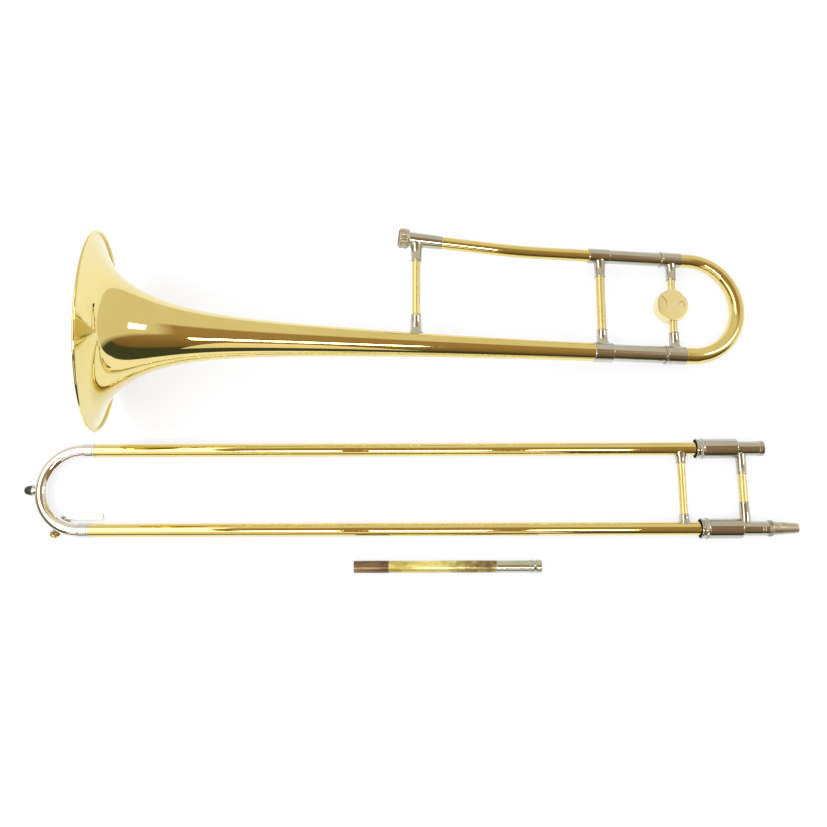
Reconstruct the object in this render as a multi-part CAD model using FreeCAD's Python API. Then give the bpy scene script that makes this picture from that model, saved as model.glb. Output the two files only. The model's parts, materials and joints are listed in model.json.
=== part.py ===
"""A tenor trombone laid out in three sections: bell section, hand slide and loose leadpipe.

Millimetres, +Z up, the floor at Z = 0 and the origin under the middle of the whole layout.
+X runs along the hand slide towards its tenon, +Y from the slide towards the bell section.
The slide is built in its own frame (station from the bumper's tip, Y from the bell-side leg).
The bell section is built in its own frame (station from the rim, Y towards the neckpipe).
"""
import FreeCAD, Part
import math
import os

# ---------------------------------------------------------------- layout
SLIDE_LENGTH = 826.0            # bumper tip to tenon end
SLIDE_WIDTH = 85.8              # between the two legs' axes
LAYOUT_CENTRE_Y = 137.07        # from the slide's bell-side leg to the middle of the layout
BELL_STATION = 99.6             # bell rim's centre, from the bumper's tip
BELL_OFFSET = 193.0             # bell axis, from the slide's bell-side leg
BELL_YAW = -0.45                # degrees
LEADPIPE_START = 355.0          # leadpipe's plain end, from the bumper's tip
LEADPIPE_OFFSET = -39.0

# ---------------------------------------------------------------- fits
SOLDER = 0.04                   # radial gap of a soldered or glued joint
RUNNING = 0.06                  # radial gap of a running fit

# ---------------------------------------------------------------- bell section
BELL_RADIUS = 101.6             # an eight-inch bell
RIM_WIRE = 1.5                  # radius of the wire rolled into the rim
BELL_WALL = 0.6
BELL_THROAT = 1.0               # station where the sheet starts, inside the rim wire
BELL_END = 530.0
BELL_TAPER = (-33.9, 0.0367)    # bell radius: a straight taper ...
BELL_DECAYS = ((61.7, 572.0), (55.5, 40.8), (19.1, 6.39))     # ... and three decays (size, length)
BELL_SECTIONS = 26
NECK_SPACING = 110.0            # tuning slide's two axes
NECK_SLOPE = 3.8                # degrees that the neck receiver leans away from the bell
NECK_CORNER = 436.0             # station where the neckpipe's two straight runs would meet
NECK_TANGENT = 28.0             # from that corner to each end of the neckpipe's bend
NECKPIPE_RADIUS = 6.75
NECKPIPE_WALL = 0.55
NECKPIPE_END = 529.0
RECEIVER_START = 83.5           # along the sloping neck, from NECK_CORNER
RECEIVER_END = 122.4
RECEIVER_MOUTH = 7.75           # outer radius at the mouth
RECEIVER_BACK = 7.1
FLANGE_RADIUS = 9.05            # flange that the lock nut pulls on
NUT_START = 119.0
NUT_END = 130.6
NUT_RADIUS = 10.5
NUT_FLUTES = 12
TAIL_FERRULE = (518.6, 539.8, 10.75)     # start, end, outer radius
NECK_FERRULE = (516.5, 539.8, 8.1)
SLEEVE_START = 531.0
SLEEVE_END = 598.6
SLEEVE_BELL_SIDE = 9.4
SLEEVE_NECK_SIDE = 7.5
SLEEVE_WALL = 0.5
FRONT_BRACE = 325.0
REAR_BRACE = 529.3
# brace sockets: foot, neck and end from the carrier's axis, then sleeve radius and saddle radius
FRONT_BELL_SOCKET = (10.5, 18.0, 33.0, 5.6, 7.6)
FRONT_NECK_SOCKET = (4.5, 11.0, 24.4, 5.7, 6.6)
REAR_BELL_SOCKET = (7.0, 13.5, 25.6, 5.6, 7.2)
REAR_NECK_SOCKET = (5.0, 10.5, 24.6, 5.6, 6.4)
FRONT_TUBE_RADIUS = 4.5
REAR_TUBE_RADIUS = 4.96
SADDLE_SLOPE = 2.5              # height over which a socket's flare narrows to its saddle

# ---------------------------------------------------------------- tuning slide
TUNING_RING = 1.8               # seam ring at the start of each crook ferrule
TUNING_FERRULE_END = 622.4
TUNING_TANGENT = 631.6          # station where the tuning crook starts to bend
CROOK_BELL_SIDE = 9.2           # crook's outer radius at its two ends
CROOK_NECK_SIDE = 7.5
CROOK_WALL = 0.6
TUNING_BRACE = 611.4
WEIGHT_STATION = 609.4
WEIGHT_OFFSET = 55.5
WEIGHT_RADIUS = 18.0
WEIGHT_THICKNESS = 13.0
WEIGHT_EDGE = 1.2               # rounding of the drum's edges, and depth of its inlay's recess
INLAY_RADIUS = 16.4             # the lens-shaped inlay's outer edge, about the drum's centre
INLAY_BULGE = 10.8              # radius of its inner edge
INLAY_CENTRE = (-18.0, 1.0)     # centre of that edge, from the drum's centre
INLAY_THICKNESS = 0.9
SCREW_OFFSET = (10.5, 1.0)      # clamping screw, from the drum's centre
SCREW_RADIUS = 3.1
NOTCH_TIP = (11.2, 10.2)        # tip of the drum's notch, from its centre
NOTCH_SIZE = (7.0, 2.4)         # length and half width at the drum's edge
NOTCH_TURN = 42.0
TUNING_BELL_SOCKET = (6.0, 12.5, 25.6, 5.3, 6.6)
TUNING_NECK_SOCKET = (5.0, 10.5, 24.0, 5.3, 6.2)
TUNING_TUBE_RADIUS = 4.2

# ---------------------------------------------------------------- hand slide
OUTER_RADIUS = 7.2
OUTER_BORE = 6.8
STOCKING = 120.0                # enlarged end of each inner tube
STOCKING_RADIUS = 6.74
INNER_RADIUS = 6.66
INNER_BORE = 6.45
INNER_START = 73.0
INNER_END = 778.0
CROOK_TANGENT = 61.2
CROOK_LEG_END = 66.0
FERRULE = (60.9, 73.6, 7.75)    # crook ferrules: start, end, outer radius
OUTER_END = 741.0
BUMPER_BASE = 9.2
BUMPER_RADIUS = 5.6
BUMPER_SOCKET = (5.8, 6.2)      # its radius at the rubber and at the crook
OUTER_BRACE = 706.6
COLLAR = (722.7, 731.2, 11.2)   # barrel collar and lock ring: start, end, outer radius
BARREL_NECK = 728.6
BARREL_START = 731.3
BARREL_END = 767.2
BARREL_RADIUS = 10.6
BARREL_NECK_RADIUS = 9.3
BARREL_NECK_BORE = 8.6
BARREL_BORE = 9.9
BARREL_BASE = 3.0               # thickness of the barrel's closed end
COLLAR_MOUTH = 10.0             # radius of the collars' open mouth
COLLAR_BORE = 7.9               # radius inside their inward lip
COLLAR_LIP = (724.4, 725.6)     # start and end of that lip
INNER_BRACE = 771.2
RECEIVER_TUBE_END = 790.2
RECEIVER_RING_END = 795.6
RECEIVER_TUBE_RADIUS = 7.85
RECEIVER_RING_RADIUS = 8.4
TENON_SLEEVE_RADIUS = 7.75
TURNED_LINES = (790.0, 787.4)   # two lines turned into the tenon's sleeve
TENON_BORE = 4.5
TENON_SPIGOT = 5.76             # radius of the tenon's plug inside its sleeve
THREAD_RING = (794.4, 798.8, 8.75)
TENON_BASE = 7.0
TENON_TIP = 5.3
LOCK_PIN_STATION = 727.0
LOCK_PIN_HEIGHT = 8.9

# ---------------------------------------------------------------- water key
KEY_ANGLE = 30.0                # degrees round the crook from straight across the slide
KEY_TILT = 20.0                 # degrees that the nipple points down
NIPPLE_REACH = 10.0             # nipple's end, from the crook tube's axis
CUP_RADIUS = 5.2
CUP_REACH = (10.9, 14.5)
CORK_RADIUS = 3.9
PIVOT_REACH = 11.0              # pivot, from the crook tube's axis, 45 degrees down and inward
LUG_RADIUS = 2.2
LUG_SPAN = (3.1, 4.6)
LEVER_PLATE = (2.6, 4.3)        # lever's inner arm: lowest and highest height
LEVER_STRAP = 1.8               # thickness of the arm under the crook

# ---------------------------------------------------------------- leadpipe
LEADPIPE_LENGTH = 198.5
LEADPIPE_RADIUS = 6.4
LEADPIPE_SLEEVE = 150.9         # start of the nickel sleeve, from the plain end
LEADPIPE_RING = 186.0           # start of the threaded end ring
LEADPIPE_RING_RADIUS = 7.0
LEADPIPE_GROOVE = (189.6, 193.2)         # threaded part of the end ring
SHANK_MOUTH = 5.6               # mouthpiece taper's radius at its mouth
SHANK_THROAT = 5.0
SHANK_DEPTH = 25.0

ALONG = FreeCAD.Vector(1, 0, 0)
ACROSS = FreeCAD.Vector(0, 1, 0)
UP = FreeCAD.Vector(0, 0, 1)
ZERO = FreeCAD.Vector(0, 0, 0)

SLIDE_HEIGHT = COLLAR[2]
CROOK_RADIUS = SLIDE_WIDTH / 2
TUNING_RADIUS = NECK_SPACING / 2


# ---------------------------------------------------------------- shapes
def point(x, y=0.0, z=0.0):
    return FreeCAD.Vector(x, y, z)


def aimed(shape, base, axis):
    """The shape with its own +X turned to lie along axis, moved to base."""
    shape.Placement = FreeCAD.Placement(base, FreeCAD.Rotation(ALONG, axis))
    return shape


def turned(outline, base=ZERO, axis=ALONG):
    """Solid of revolution from a closed outline of (station, radius) corners."""
    corners = [point(station, radius) for station, radius in outline]
    face = Part.Face(Part.makePolygon(corners + corners[:1]))
    return aimed(face.revolve(ZERO, ALONG, 360), base, axis)


def tube(start, end, outer, inner, base=ZERO, axis=ALONG):
    return turned([(start, inner), (end, inner), (end, outer), (start, outer)], base, axis)


def rod(start, end, radius, base=ZERO, axis=ALONG):
    return aimed(Part.makeCylinder(radius, end - start, point(start), ALONG), base, axis)


def pipe_along(path, radius):
    """Solid round bar that follows a smooth path, from the path's first point."""
    first = path.Edges[0]
    start = first.valueAt(first.FirstParameter)
    heading = first.tangentAt(first.FirstParameter)
    ring = Part.Wire(Part.Circle(start, heading, radius).toShape())
    return path.makePipeShell([ring], True, True)


def half_turn(centre_x, centre_y, bend_radius, tube_radius):
    """Half of a round torus that opens towards +X, in the XY plane."""
    ring = Part.Wire(Part.Circle(point(centre_x, centre_y - bend_radius), ALONG, tube_radius).toShape())
    return Part.Face(ring).revolve(point(centre_x, centre_y), point(0, 0, -1), 180)


def saddle_socket(size, bore, base, axis, carrier):
    """Brace socket: a sleeve that flares into a saddle, cut to sit on the tube called carrier."""
    foot, neck, end, radius, flare = size
    slope = neck - SADDLE_SLOPE
    outline = [(foot, 0.0), (end, 0.0), (end, radius), (neck, radius), (slope, flare), (foot, flare)]
    body = turned(outline, base, axis)
    body = body.cut(carrier)
    return body.cut(rod(neck, end + 1.0, bore, base, axis))


# ---------------------------------------------------------------- bell
def bell_radius(station):
    """Outer radius of the bell's sheet at a station behind the rim."""
    offset, slope = BELL_TAPER
    radius = offset + slope * station
    for size, length in BELL_DECAYS:
        radius += size * math.exp(-station / length)
    return radius


def bell_profile():
    """Stations and radii of the bell, closest together at the flare."""
    run = BELL_END - BELL_THROAT
    stations = [BELL_THROAT + run * (index / BELL_SECTIONS) ** 2.2 for index in range(BELL_SECTIONS + 1)]
    return [(station, bell_radius(station)) for station in stations]


def offset_profile(stations, distance):
    """Stations of a (station, radius) curve moved outwards, square to the curve, by distance."""
    moved = []
    last = len(stations) - 1
    for index, (station, radius) in enumerate(stations):
        before = stations[max(index - 1, 0)]
        after = stations[min(index + 1, last)]
        run = after[0] - before[0]
        rise = after[1] - before[1]
        length = math.hypot(run, rise)
        moved.append((station - distance * rise / length, radius + distance * run / length))
    return moved


def profile_edge(stations):
    curve = Part.BSplineCurve()
    curve.interpolate([point(station, radius) for station, radius in stations])
    return curve.toShape()


def bell_solid(gap):
    """The bell as a filled body, its outer surface grown by gap, for cutting saddles to fit."""
    outer = offset_profile(bell_profile(), gap)
    first = point(*outer[0])
    last = point(*outer[-1])
    edges = [profile_edge(outer)]
    edges.append(Part.makeLine(last, point(last.x)))
    edges.append(Part.makeLine(point(last.x), point(first.x)))
    edges.append(Part.makeLine(point(first.x), first))
    return Part.Face(Part.Wire(edges)).revolve(ZERO, ALONG, 360)


def bell_flare():
    """One spun brass sheet from the rim to the small end, of even wall."""
    outer = bell_profile()
    inner = offset_profile(outer, -BELL_WALL)
    edges = [profile_edge(outer)]
    edges.append(Part.makeLine(point(*outer[-1]), point(*inner[-1])))
    edges.append(profile_edge(inner))
    edges.append(Part.makeLine(point(*inner[0]), point(*outer[0])))
    sheet = Part.Face(Part.Wire(Part.sortEdges(edges)[0])).revolve(ZERO, ALONG, 360)
    return sheet.cut(rim_torus(RIM_WIRE + SOLDER))


def rim_torus(wire_radius):
    return Part.makeTorus(BELL_RADIUS - RIM_WIRE, wire_radius, point(RIM_WIRE), ALONG)


def bell_tail():
    """Ferrule that joins the bell's small end to the tuning slide's sleeve."""
    start, end, outer = TAIL_FERRULE
    wide = bell_radius(start) + SOLDER
    step = BELL_END + 0.5
    sleeve = SLEEVE_BELL_SIDE + SOLDER
    return turned([(start, wide), (step, wide), (step, sleeve), (end, sleeve),
                   (end, outer - 0.5), (end - 0.5, outer), (start + 0.5, outer), (start, outer - 0.3)])


def tuning_sleeve(outer, base):
    return tube(SLEEVE_START, SLEEVE_END, outer, outer - SLEEVE_WALL, base)


# ---------------------------------------------------------------- neck
def neck_point(distance):
    """Point on the sloping run of the neck's axis, at a distance from the neck's corner."""
    slope = math.radians(NECK_SLOPE)
    return point(NECK_CORNER - distance * math.cos(slope), NECK_SPACING + distance * math.sin(slope))


def neck_direction():
    return (neck_point(1.0) - neck_point(0.0)).normalize()


def neckpipe():
    """Tube with one shallow bend, from inside the receiver to inside the neck ferrule."""
    half_angle = math.radians(NECK_SLOPE / 2)
    bend_start = neck_point(NECK_TANGENT)
    bend_end = point(NECK_CORNER + NECK_TANGENT, NECK_SPACING)
    bulge = NECK_TANGENT / math.tan(half_angle) * (1 / math.cos(half_angle) - 1)
    lean = math.pi / 2 - half_angle
    bend_middle = point(NECK_CORNER, NECK_SPACING) + point(math.cos(lean), math.sin(lean)) * bulge
    path = Part.Wire([
        Part.makeLine(neck_point(RECEIVER_START + 12.0), bend_start),
        Part.Arc(bend_start, bend_middle, bend_end).toShape(),
        Part.makeLine(bend_end, point(NECKPIPE_END, NECK_SPACING))])
    outside = pipe_along(path, NECKPIPE_RADIUS)
    return outside.cut(pipe_along(path, NECKPIPE_RADIUS - NECKPIPE_WALL))


def neck_receiver():
    """Socket that takes the slide's tapered tenon, with the flange that the lock nut pulls on."""
    pipe = NECKPIPE_RADIUS + SOLDER
    shoulder = RECEIVER_START + 12.5
    return turned([
        (RECEIVER_START, pipe), (shoulder, pipe), (shoulder, TENON_TIP), (RECEIVER_END - 25.0, TENON_TIP),
        (RECEIVER_END, TENON_BASE + 0.05), (RECEIVER_END, FLANGE_RADIUS), (RECEIVER_END - 2.3, FLANGE_RADIUS),
        (RECEIVER_END - 2.3, RECEIVER_MOUTH), (RECEIVER_START + 14.0, RECEIVER_BACK + 0.35),
        (RECEIVER_START, RECEIVER_BACK)], neck_point(0), neck_direction())


def lock_nut():
    """Fluted nut, free to turn behind the receiver's flange and threaded for the slide's ring."""
    lip = RECEIVER_MOUTH + 0.15
    recess = FLANGE_RADIUS + 0.15
    thread = THREAD_RING[2] + 0.15
    body = turned([
        (NUT_START, lip), (RECEIVER_END - 2.6, lip), (RECEIVER_END - 2.6, recess),
        (RECEIVER_END + 0.3, recess), (RECEIVER_END + 0.3, thread), (NUT_END, thread),
        (NUT_END, NUT_RADIUS - 1.2),
        (NUT_END - 1.2, NUT_RADIUS), (NUT_START + 2.2, NUT_RADIUS), (NUT_START, NUT_RADIUS - 2.2)])
    for index in range(NUT_FLUTES):
        angle = 2 * math.pi * index / NUT_FLUTES
        spot = point(0, (NUT_RADIUS + 1.3) * math.cos(angle), (NUT_RADIUS + 1.3) * math.sin(angle))
        body = body.cut(rod(NUT_START + 3.4, NUT_END - 2.6, 1.8, spot))
    return aimed(body, neck_point(0), neck_direction())


def neck_ferrule():
    start, end, outer = NECK_FERRULE
    pipe = NECKPIPE_RADIUS + SOLDER
    sleeve = SLEEVE_NECK_SIDE + SOLDER
    step = NECKPIPE_END + 0.5
    return turned([(start, pipe), (step, pipe), (step, sleeve), (end, sleeve), (end, outer - 0.4),
                   (end - 0.4, outer), (start + 0.8, outer), (start, outer - 0.6)], point(0, NECK_SPACING))


# ---------------------------------------------------------------- bell braces
def bell_braces():
    """Two stays between the bell and the neck, each a tube in two flared sockets."""
    bell = bell_solid(SOLDER)
    neck = rod(RECEIVER_START, RECEIVER_END, RECEIVER_MOUTH + 0.02, neck_point(0), neck_direction())
    slope_offset = math.tan(math.radians(NECK_SLOPE)) * (NECK_CORNER - FRONT_BRACE)
    receiver_axis = NECK_SPACING + slope_offset
    front = point(FRONT_BRACE)
    front_top = point(FRONT_BRACE, receiver_axis)
    rear = point(REAR_BRACE)
    rear_top = point(REAR_BRACE, NECK_SPACING)
    ferrule = rod(TAIL_FERRULE[0] - 5, TAIL_FERRULE[1], TAIL_FERRULE[2] + SOLDER)
    small = rod(NECK_FERRULE[0] - 5, NECK_FERRULE[1], NECK_FERRULE[2] + SOLDER, point(0, NECK_SPACING))
    down = point(0, -1)
    front_bore = FRONT_TUBE_RADIUS + SOLDER
    rear_bore = REAR_TUBE_RADIUS + SOLDER
    return {
        "front_brace_bell_socket": saddle_socket(FRONT_BELL_SOCKET, front_bore, front, ACROSS, bell),
        "front_brace_tube": rod(24.0, receiver_axis - 13.0, FRONT_TUBE_RADIUS, front, ACROSS),
        "front_brace_neck_socket": saddle_socket(FRONT_NECK_SOCKET, front_bore, front_top, down, neck),
        "rear_brace_bell_socket": saddle_socket(REAR_BELL_SOCKET, rear_bore, rear, ACROSS, ferrule),
        "rear_brace_tube": rod(17.0, NECK_SPACING - 13.0, REAR_TUBE_RADIUS, rear, ACROSS),
        "rear_brace_neck_socket": saddle_socket(REAR_NECK_SOCKET, rear_bore, rear_top, down, small)}


# ---------------------------------------------------------------- tuning slide
def tuning_crook_bar(shrink):
    """Bent bar that widens evenly from the neck side to the bell side."""
    sections = 12
    rings = []
    for index in range(sections + 1):
        turn = math.pi * index / sections
        outward = point(math.sin(turn), -math.cos(turn))
        centre = point(TUNING_TANGENT, TUNING_RADIUS) + outward * TUNING_RADIUS
        radius = CROOK_BELL_SIDE + (CROOK_NECK_SIDE - CROOK_BELL_SIDE) * index / sections - shrink
        heading = point(math.cos(turn), math.sin(turn))
        rings.append(Part.Wire(Part.Circle(centre, heading, radius).toShape()))
    return Part.makeLoft(rings, True, False)


def tuning_crook():
    bend = tuning_crook_bar(0.0).cut(tuning_crook_bar(CROOK_WALL))
    for radius, offset in ((CROOK_BELL_SIDE, 0.0), (CROOK_NECK_SIDE, NECK_SPACING)):
        start = TUNING_FERRULE_END - 8.0
        bend = bend.fuse(tube(start, TUNING_TANGENT, radius, radius - CROOK_WALL, point(0, offset)))
    return bend


def tuning_ferrule(crook, leg, outer, base):
    """Ring and sleeve that join the crook to one inner leg, and stop against the outer sleeve."""
    start = SLEEVE_END + 0.3
    step = TUNING_FERRULE_END - 8.3
    end = TUNING_FERRULE_END
    return turned([
        (start, leg + SOLDER), (step, leg + SOLDER), (step, crook + SOLDER), (end, crook + SOLDER),
        (end, outer - 0.5), (end - 0.5, outer - 0.1), (start + TUNING_RING, outer - 0.1),
        (start + TUNING_RING, outer + 0.5), (start, outer + 0.5)], base)


def tuning_slide():
    """The crook with its two legs, ferrules and weighted brace."""
    neck_base = point(0, NECK_SPACING)
    leg_bell = SLEEVE_BELL_SIDE - SLEEVE_WALL - RUNNING
    leg_neck = SLEEVE_NECK_SIDE - SLEEVE_WALL - RUNNING
    leg_end = TUNING_FERRULE_END - 8.6
    outer_bell = CROOK_BELL_SIDE + 0.7
    outer_neck = CROOK_NECK_SIDE + 0.7
    brace = point(TUNING_BRACE)
    brace_top = point(TUNING_BRACE, NECK_SPACING)
    socket_bore = TUNING_TUBE_RADIUS + SOLDER
    on_bell = rod(SLEEVE_END, TUNING_FERRULE_END + 4, outer_bell - 0.1 + SOLDER)
    on_bell = on_bell.fuse(rod(SLEEVE_END, SLEEVE_END + TUNING_RING + 0.34, outer_bell + 0.5 + SOLDER))
    on_neck = rod(SLEEVE_END, TUNING_FERRULE_END + 4, outer_neck - 0.1 + SOLDER, neck_base)
    ring = rod(SLEEVE_END, SLEEVE_END + TUNING_RING + 0.34, outer_neck + 0.5 + SOLDER, neck_base)
    on_neck = on_neck.fuse(ring)
    pieces = {
        "tuning_crook": tuning_crook(),
        "tuning_leg_bell_side": tube(SLEEVE_START + 14.0, leg_end, leg_bell, leg_bell - 0.45),
        "tuning_leg_neck_side": tube(SLEEVE_START + 14.0, leg_end, leg_neck, leg_neck - 0.45, neck_base),
        "tuning_ferrule_bell_side": tuning_ferrule(CROOK_BELL_SIDE, leg_bell, outer_bell, ZERO),
        "tuning_ferrule_neck_side": tuning_ferrule(CROOK_NECK_SIDE, leg_neck, outer_neck, neck_base),
        "tuning_brace_bell_socket": saddle_socket(TUNING_BELL_SOCKET, socket_bore, brace, ACROSS, on_bell),
        "tuning_brace_neck_socket": saddle_socket(
            TUNING_NECK_SOCKET, socket_bore, brace_top, point(0, -1), on_neck),
        "tuning_brace_tube": rod(16.0, NECK_SPACING - 14.0, TUNING_TUBE_RADIUS, brace, ACROSS)}
    pieces.update(counterweight())
    return pieces


def lens(base, height, gap):
    """Lens-shaped block on the drum: where its face's disc and a smaller disc off to one side overlap."""
    disc = Part.makeCylinder(INLAY_RADIUS - gap, height, base, UP)
    return disc.common(Part.makeCylinder(INLAY_BULGE - gap, height, base + point(*INLAY_CENTRE), UP))


def counterweight():
    """Drum clamped on the tuning slide's brace, with a lens-shaped inlay and a slotted screw."""
    half = WEIGHT_THICKNESS / 2
    centre = point(WEIGHT_STATION, WEIGHT_OFFSET)
    drum = Part.makeCylinder(WEIGHT_RADIUS, WEIGHT_THICKNESS, centre - UP * half, UP)
    edges = [edge for edge in drum.Edges if edge.Closed]
    drum = drum.makeFillet(WEIGHT_EDGE, edges)
    recess = centre + UP * (half - WEIGHT_EDGE)
    screw_spot = centre + point(*SCREW_OFFSET)
    drum = drum.cut(lens(recess, WEIGHT_EDGE + 1, 0.0))
    drum = drum.cut(rod(0.0, NECK_SPACING, TUNING_TUBE_RADIUS + SOLDER, point(TUNING_BRACE), ACROSS))
    drum = drum.cut(Part.makeCylinder(SCREW_RADIUS + 0.1, 5.0, screw_spot + UP * (half - 4.0), UP))
    length, half_width = NOTCH_SIZE
    notch = Part.makePolygon([ZERO, point(length, -half_width), point(length, half_width), ZERO])
    wedge = Part.Face(notch).extrude(UP * (WEIGHT_THICKNESS + 2))
    wedge.Placement = FreeCAD.Placement(
        centre + point(*NOTCH_TIP) - UP * (half + 1), FreeCAD.Rotation(UP, NOTCH_TURN))
    drum = drum.cut(wedge)
    screw = Part.makeCylinder(SCREW_RADIUS, 3.4, screw_spot + UP * (half - 3.9), UP)
    slot = Part.makeBox(8.0, 0.9, 1.2, screw_spot + UP * (half - 1.6) - point(4.0, 0.45))
    return {
        "counterweight": drum,
        "counterweight_inlay": lens(recess, INLAY_THICKNESS, SOLDER),
        "counterweight_screw": screw.cut(slot)}


def bell_section():
    neck_base = point(0, NECK_SPACING)
    pieces = {
        "bell_flare": bell_flare(),
        "bell_rim_wire": rim_torus(RIM_WIRE),
        "bell_tail_ferrule": bell_tail(),
        "tuning_sleeve_bell_side": tuning_sleeve(SLEEVE_BELL_SIDE, ZERO),
        "tuning_sleeve_neck_side": tuning_sleeve(SLEEVE_NECK_SIDE, neck_base),
        "neck_ferrule": neck_ferrule(),
        "neckpipe": neckpipe(),
        "neck_receiver": neck_receiver(),
        "lock_nut": lock_nut()}
    pieces.update(bell_braces())
    pieces.update(tuning_slide())
    return pieces


def bell_placement():
    """The bell section lies on the bell's rim and on the tuning crook's far end."""
    apex_radius = (CROOK_BELL_SIDE + CROOK_NECK_SIDE) / 2
    reach = TUNING_TANGENT + TUNING_RADIUS - RIM_WIRE
    rim = BELL_RADIUS - RIM_WIRE
    tilt = math.acos((apex_radius - RIM_WIRE) / math.hypot(rim, reach)) - math.atan2(reach, rim)
    height = RIM_WIRE + RIM_WIRE * math.sin(tilt) + rim * math.cos(tilt)
    base = point(BELL_STATION - SLIDE_LENGTH / 2, BELL_OFFSET - LAYOUT_CENTRE_Y, height)
    turn = FreeCAD.Rotation(UP, BELL_YAW).multiply(FreeCAD.Rotation(ACROSS, math.degrees(tilt)))
    return FreeCAD.Placement(base, turn)


# ---------------------------------------------------------------- hand slide
def leg(offset):
    return point(0, offset)


def inner_tube(base):
    """Inner slide tube, drawn slightly larger over its stocking."""
    end = INNER_START + STOCKING
    return turned([(INNER_START, INNER_BORE), (INNER_END, INNER_BORE), (INNER_END, INNER_RADIUS),
                   (end + 2.0, INNER_RADIUS), (end, STOCKING_RADIUS), (INNER_START, STOCKING_RADIUS)], base)


def barrel(base):
    """Cork barrel: a cup over the inner tube that takes the outer tube's end."""
    tube_fit = INNER_RADIUS + SOLDER
    base_start = BARREL_END - BARREL_BASE
    neck_end = BARREL_START + 1.2
    return turned([
        (BARREL_NECK, BARREL_NECK_BORE), (neck_end, BARREL_NECK_BORE), (neck_end, BARREL_BORE),
        (base_start, BARREL_BORE), (base_start, tube_fit), (BARREL_END, tube_fit),
        (BARREL_END, BARREL_RADIUS - 0.8), (BARREL_END - 0.8, BARREL_RADIUS), (BARREL_START, BARREL_RADIUS),
        (BARREL_START, BARREL_NECK_RADIUS), (BARREL_NECK, BARREL_NECK_RADIUS)], base)


def collar(bore, base):
    """Ring over the barrel's mouth, with an inward lip and a raised band."""
    start, end, outer = COLLAR
    lip_start, lip_end = COLLAR_LIP
    return turned([
        (start, COLLAR_MOUTH), (lip_start, COLLAR_MOUTH), (lip_start, COLLAR_BORE), (lip_end, COLLAR_BORE),
        (lip_end, bore), (end, bore), (end, outer - 0.7),
        (end - 1.2, outer - 0.3), (end - 1.4, outer), (end - 3.4, outer), (end - 3.6, outer - 0.3),
        (start + 1.0, outer - 0.3), (start, outer - 0.5)], base)


def lock_ring():
    """Collar that turns on the barrel, its lip notched so that the outer tube's pin can pass."""
    ring = collar(BARREL_NECK_RADIUS + RUNNING, leg(0))
    lip_start, lip_end = COLLAR_LIP
    notch = Part.makeBox(lip_end - lip_start + 1.0, 3.4, 3.2, point(lip_start - 0.5, -1.7, 6.5))
    return ring.cut(notch)


def barrel_corks():
    start = OUTER_END + 0.5
    end = BARREL_END - BARREL_BASE - 0.05
    bore = INNER_RADIUS + RUNNING
    corks = [tube(start, end, BARREL_BORE - 0.1, bore, leg(offset)) for offset in (0.0, SLIDE_WIDTH)]
    return Part.makeCompound(corks)


def mouthpiece_receiver():
    """Socket on the mouthpiece-side leg, with a counterbore for the leadpipe's threaded ring."""
    tube_fit = INNER_RADIUS + SOLDER
    start = BARREL_END + 0.1
    bore = INNER_BORE
    mouth = LEADPIPE_RING_RADIUS + 0.1
    ring = RECEIVER_RING_RADIUS
    return turned([
        (start, tube_fit), (INNER_END, tube_fit), (INNER_END, bore), (RECEIVER_TUBE_END - 1.0, bore),
        (RECEIVER_TUBE_END - 1.0, mouth), (RECEIVER_RING_END, mouth), (RECEIVER_RING_END, ring - 0.4),
        (RECEIVER_RING_END - 0.4, ring), (RECEIVER_TUBE_END, ring), (RECEIVER_TUBE_END, RECEIVER_TUBE_RADIUS),
        (start, RECEIVER_TUBE_RADIUS)], leg(SLIDE_WIDTH))


def tenon_sleeve():
    """Sleeve on the bell-side leg that carries the tenon, with two turned lines."""
    tube_fit = INNER_RADIUS + SOLDER
    start = BARREL_END + 0.1
    end = THREAD_RING[0]
    outer = TENON_SLEEVE_RADIUS
    line = outer - 0.2
    spigot = TENON_SPIGOT + SOLDER
    outline = [(start, tube_fit), (INNER_END, tube_fit), (INNER_END, spigot), (end, spigot), (end, outer)]
    for groove in TURNED_LINES:
        outline += [(groove + 0.3, outer), (groove + 0.3, line), (groove - 0.3, line), (groove - 0.3, outer)]
    outline.append((start, outer))
    return turned(outline)


def thread_ring():
    start, end, outer = THREAD_RING
    return turned([(start, 5.95), (end, 5.95), (end, outer - 0.5), (end - 0.5, outer), (start + 0.5, outer),
                   (start, outer - 0.5)])


def slide_tenon():
    start, end, _ = THREAD_RING
    plug = start - 10.0
    return turned([
        (plug, TENON_BORE), (SLIDE_LENGTH, TENON_BORE), (SLIDE_LENGTH, TENON_TIP - 0.2),
        (SLIDE_LENGTH - 0.4, TENON_TIP), (end + 0.02, TENON_BASE), (end + 0.02, 5.9), (start, 5.9),
        (start, TENON_SPIGOT), (plug, TENON_SPIGOT)])


def carrier(radius, base):
    """Filled stand-in for a leg and its barrel, grown by the solder gap, for cutting saddles."""
    return rod(INNER_START, INNER_END + 15.0, radius + SOLDER, base).fuse(
        rod(BARREL_START, BARREL_END, BARREL_RADIUS + SOLDER, base))


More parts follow.
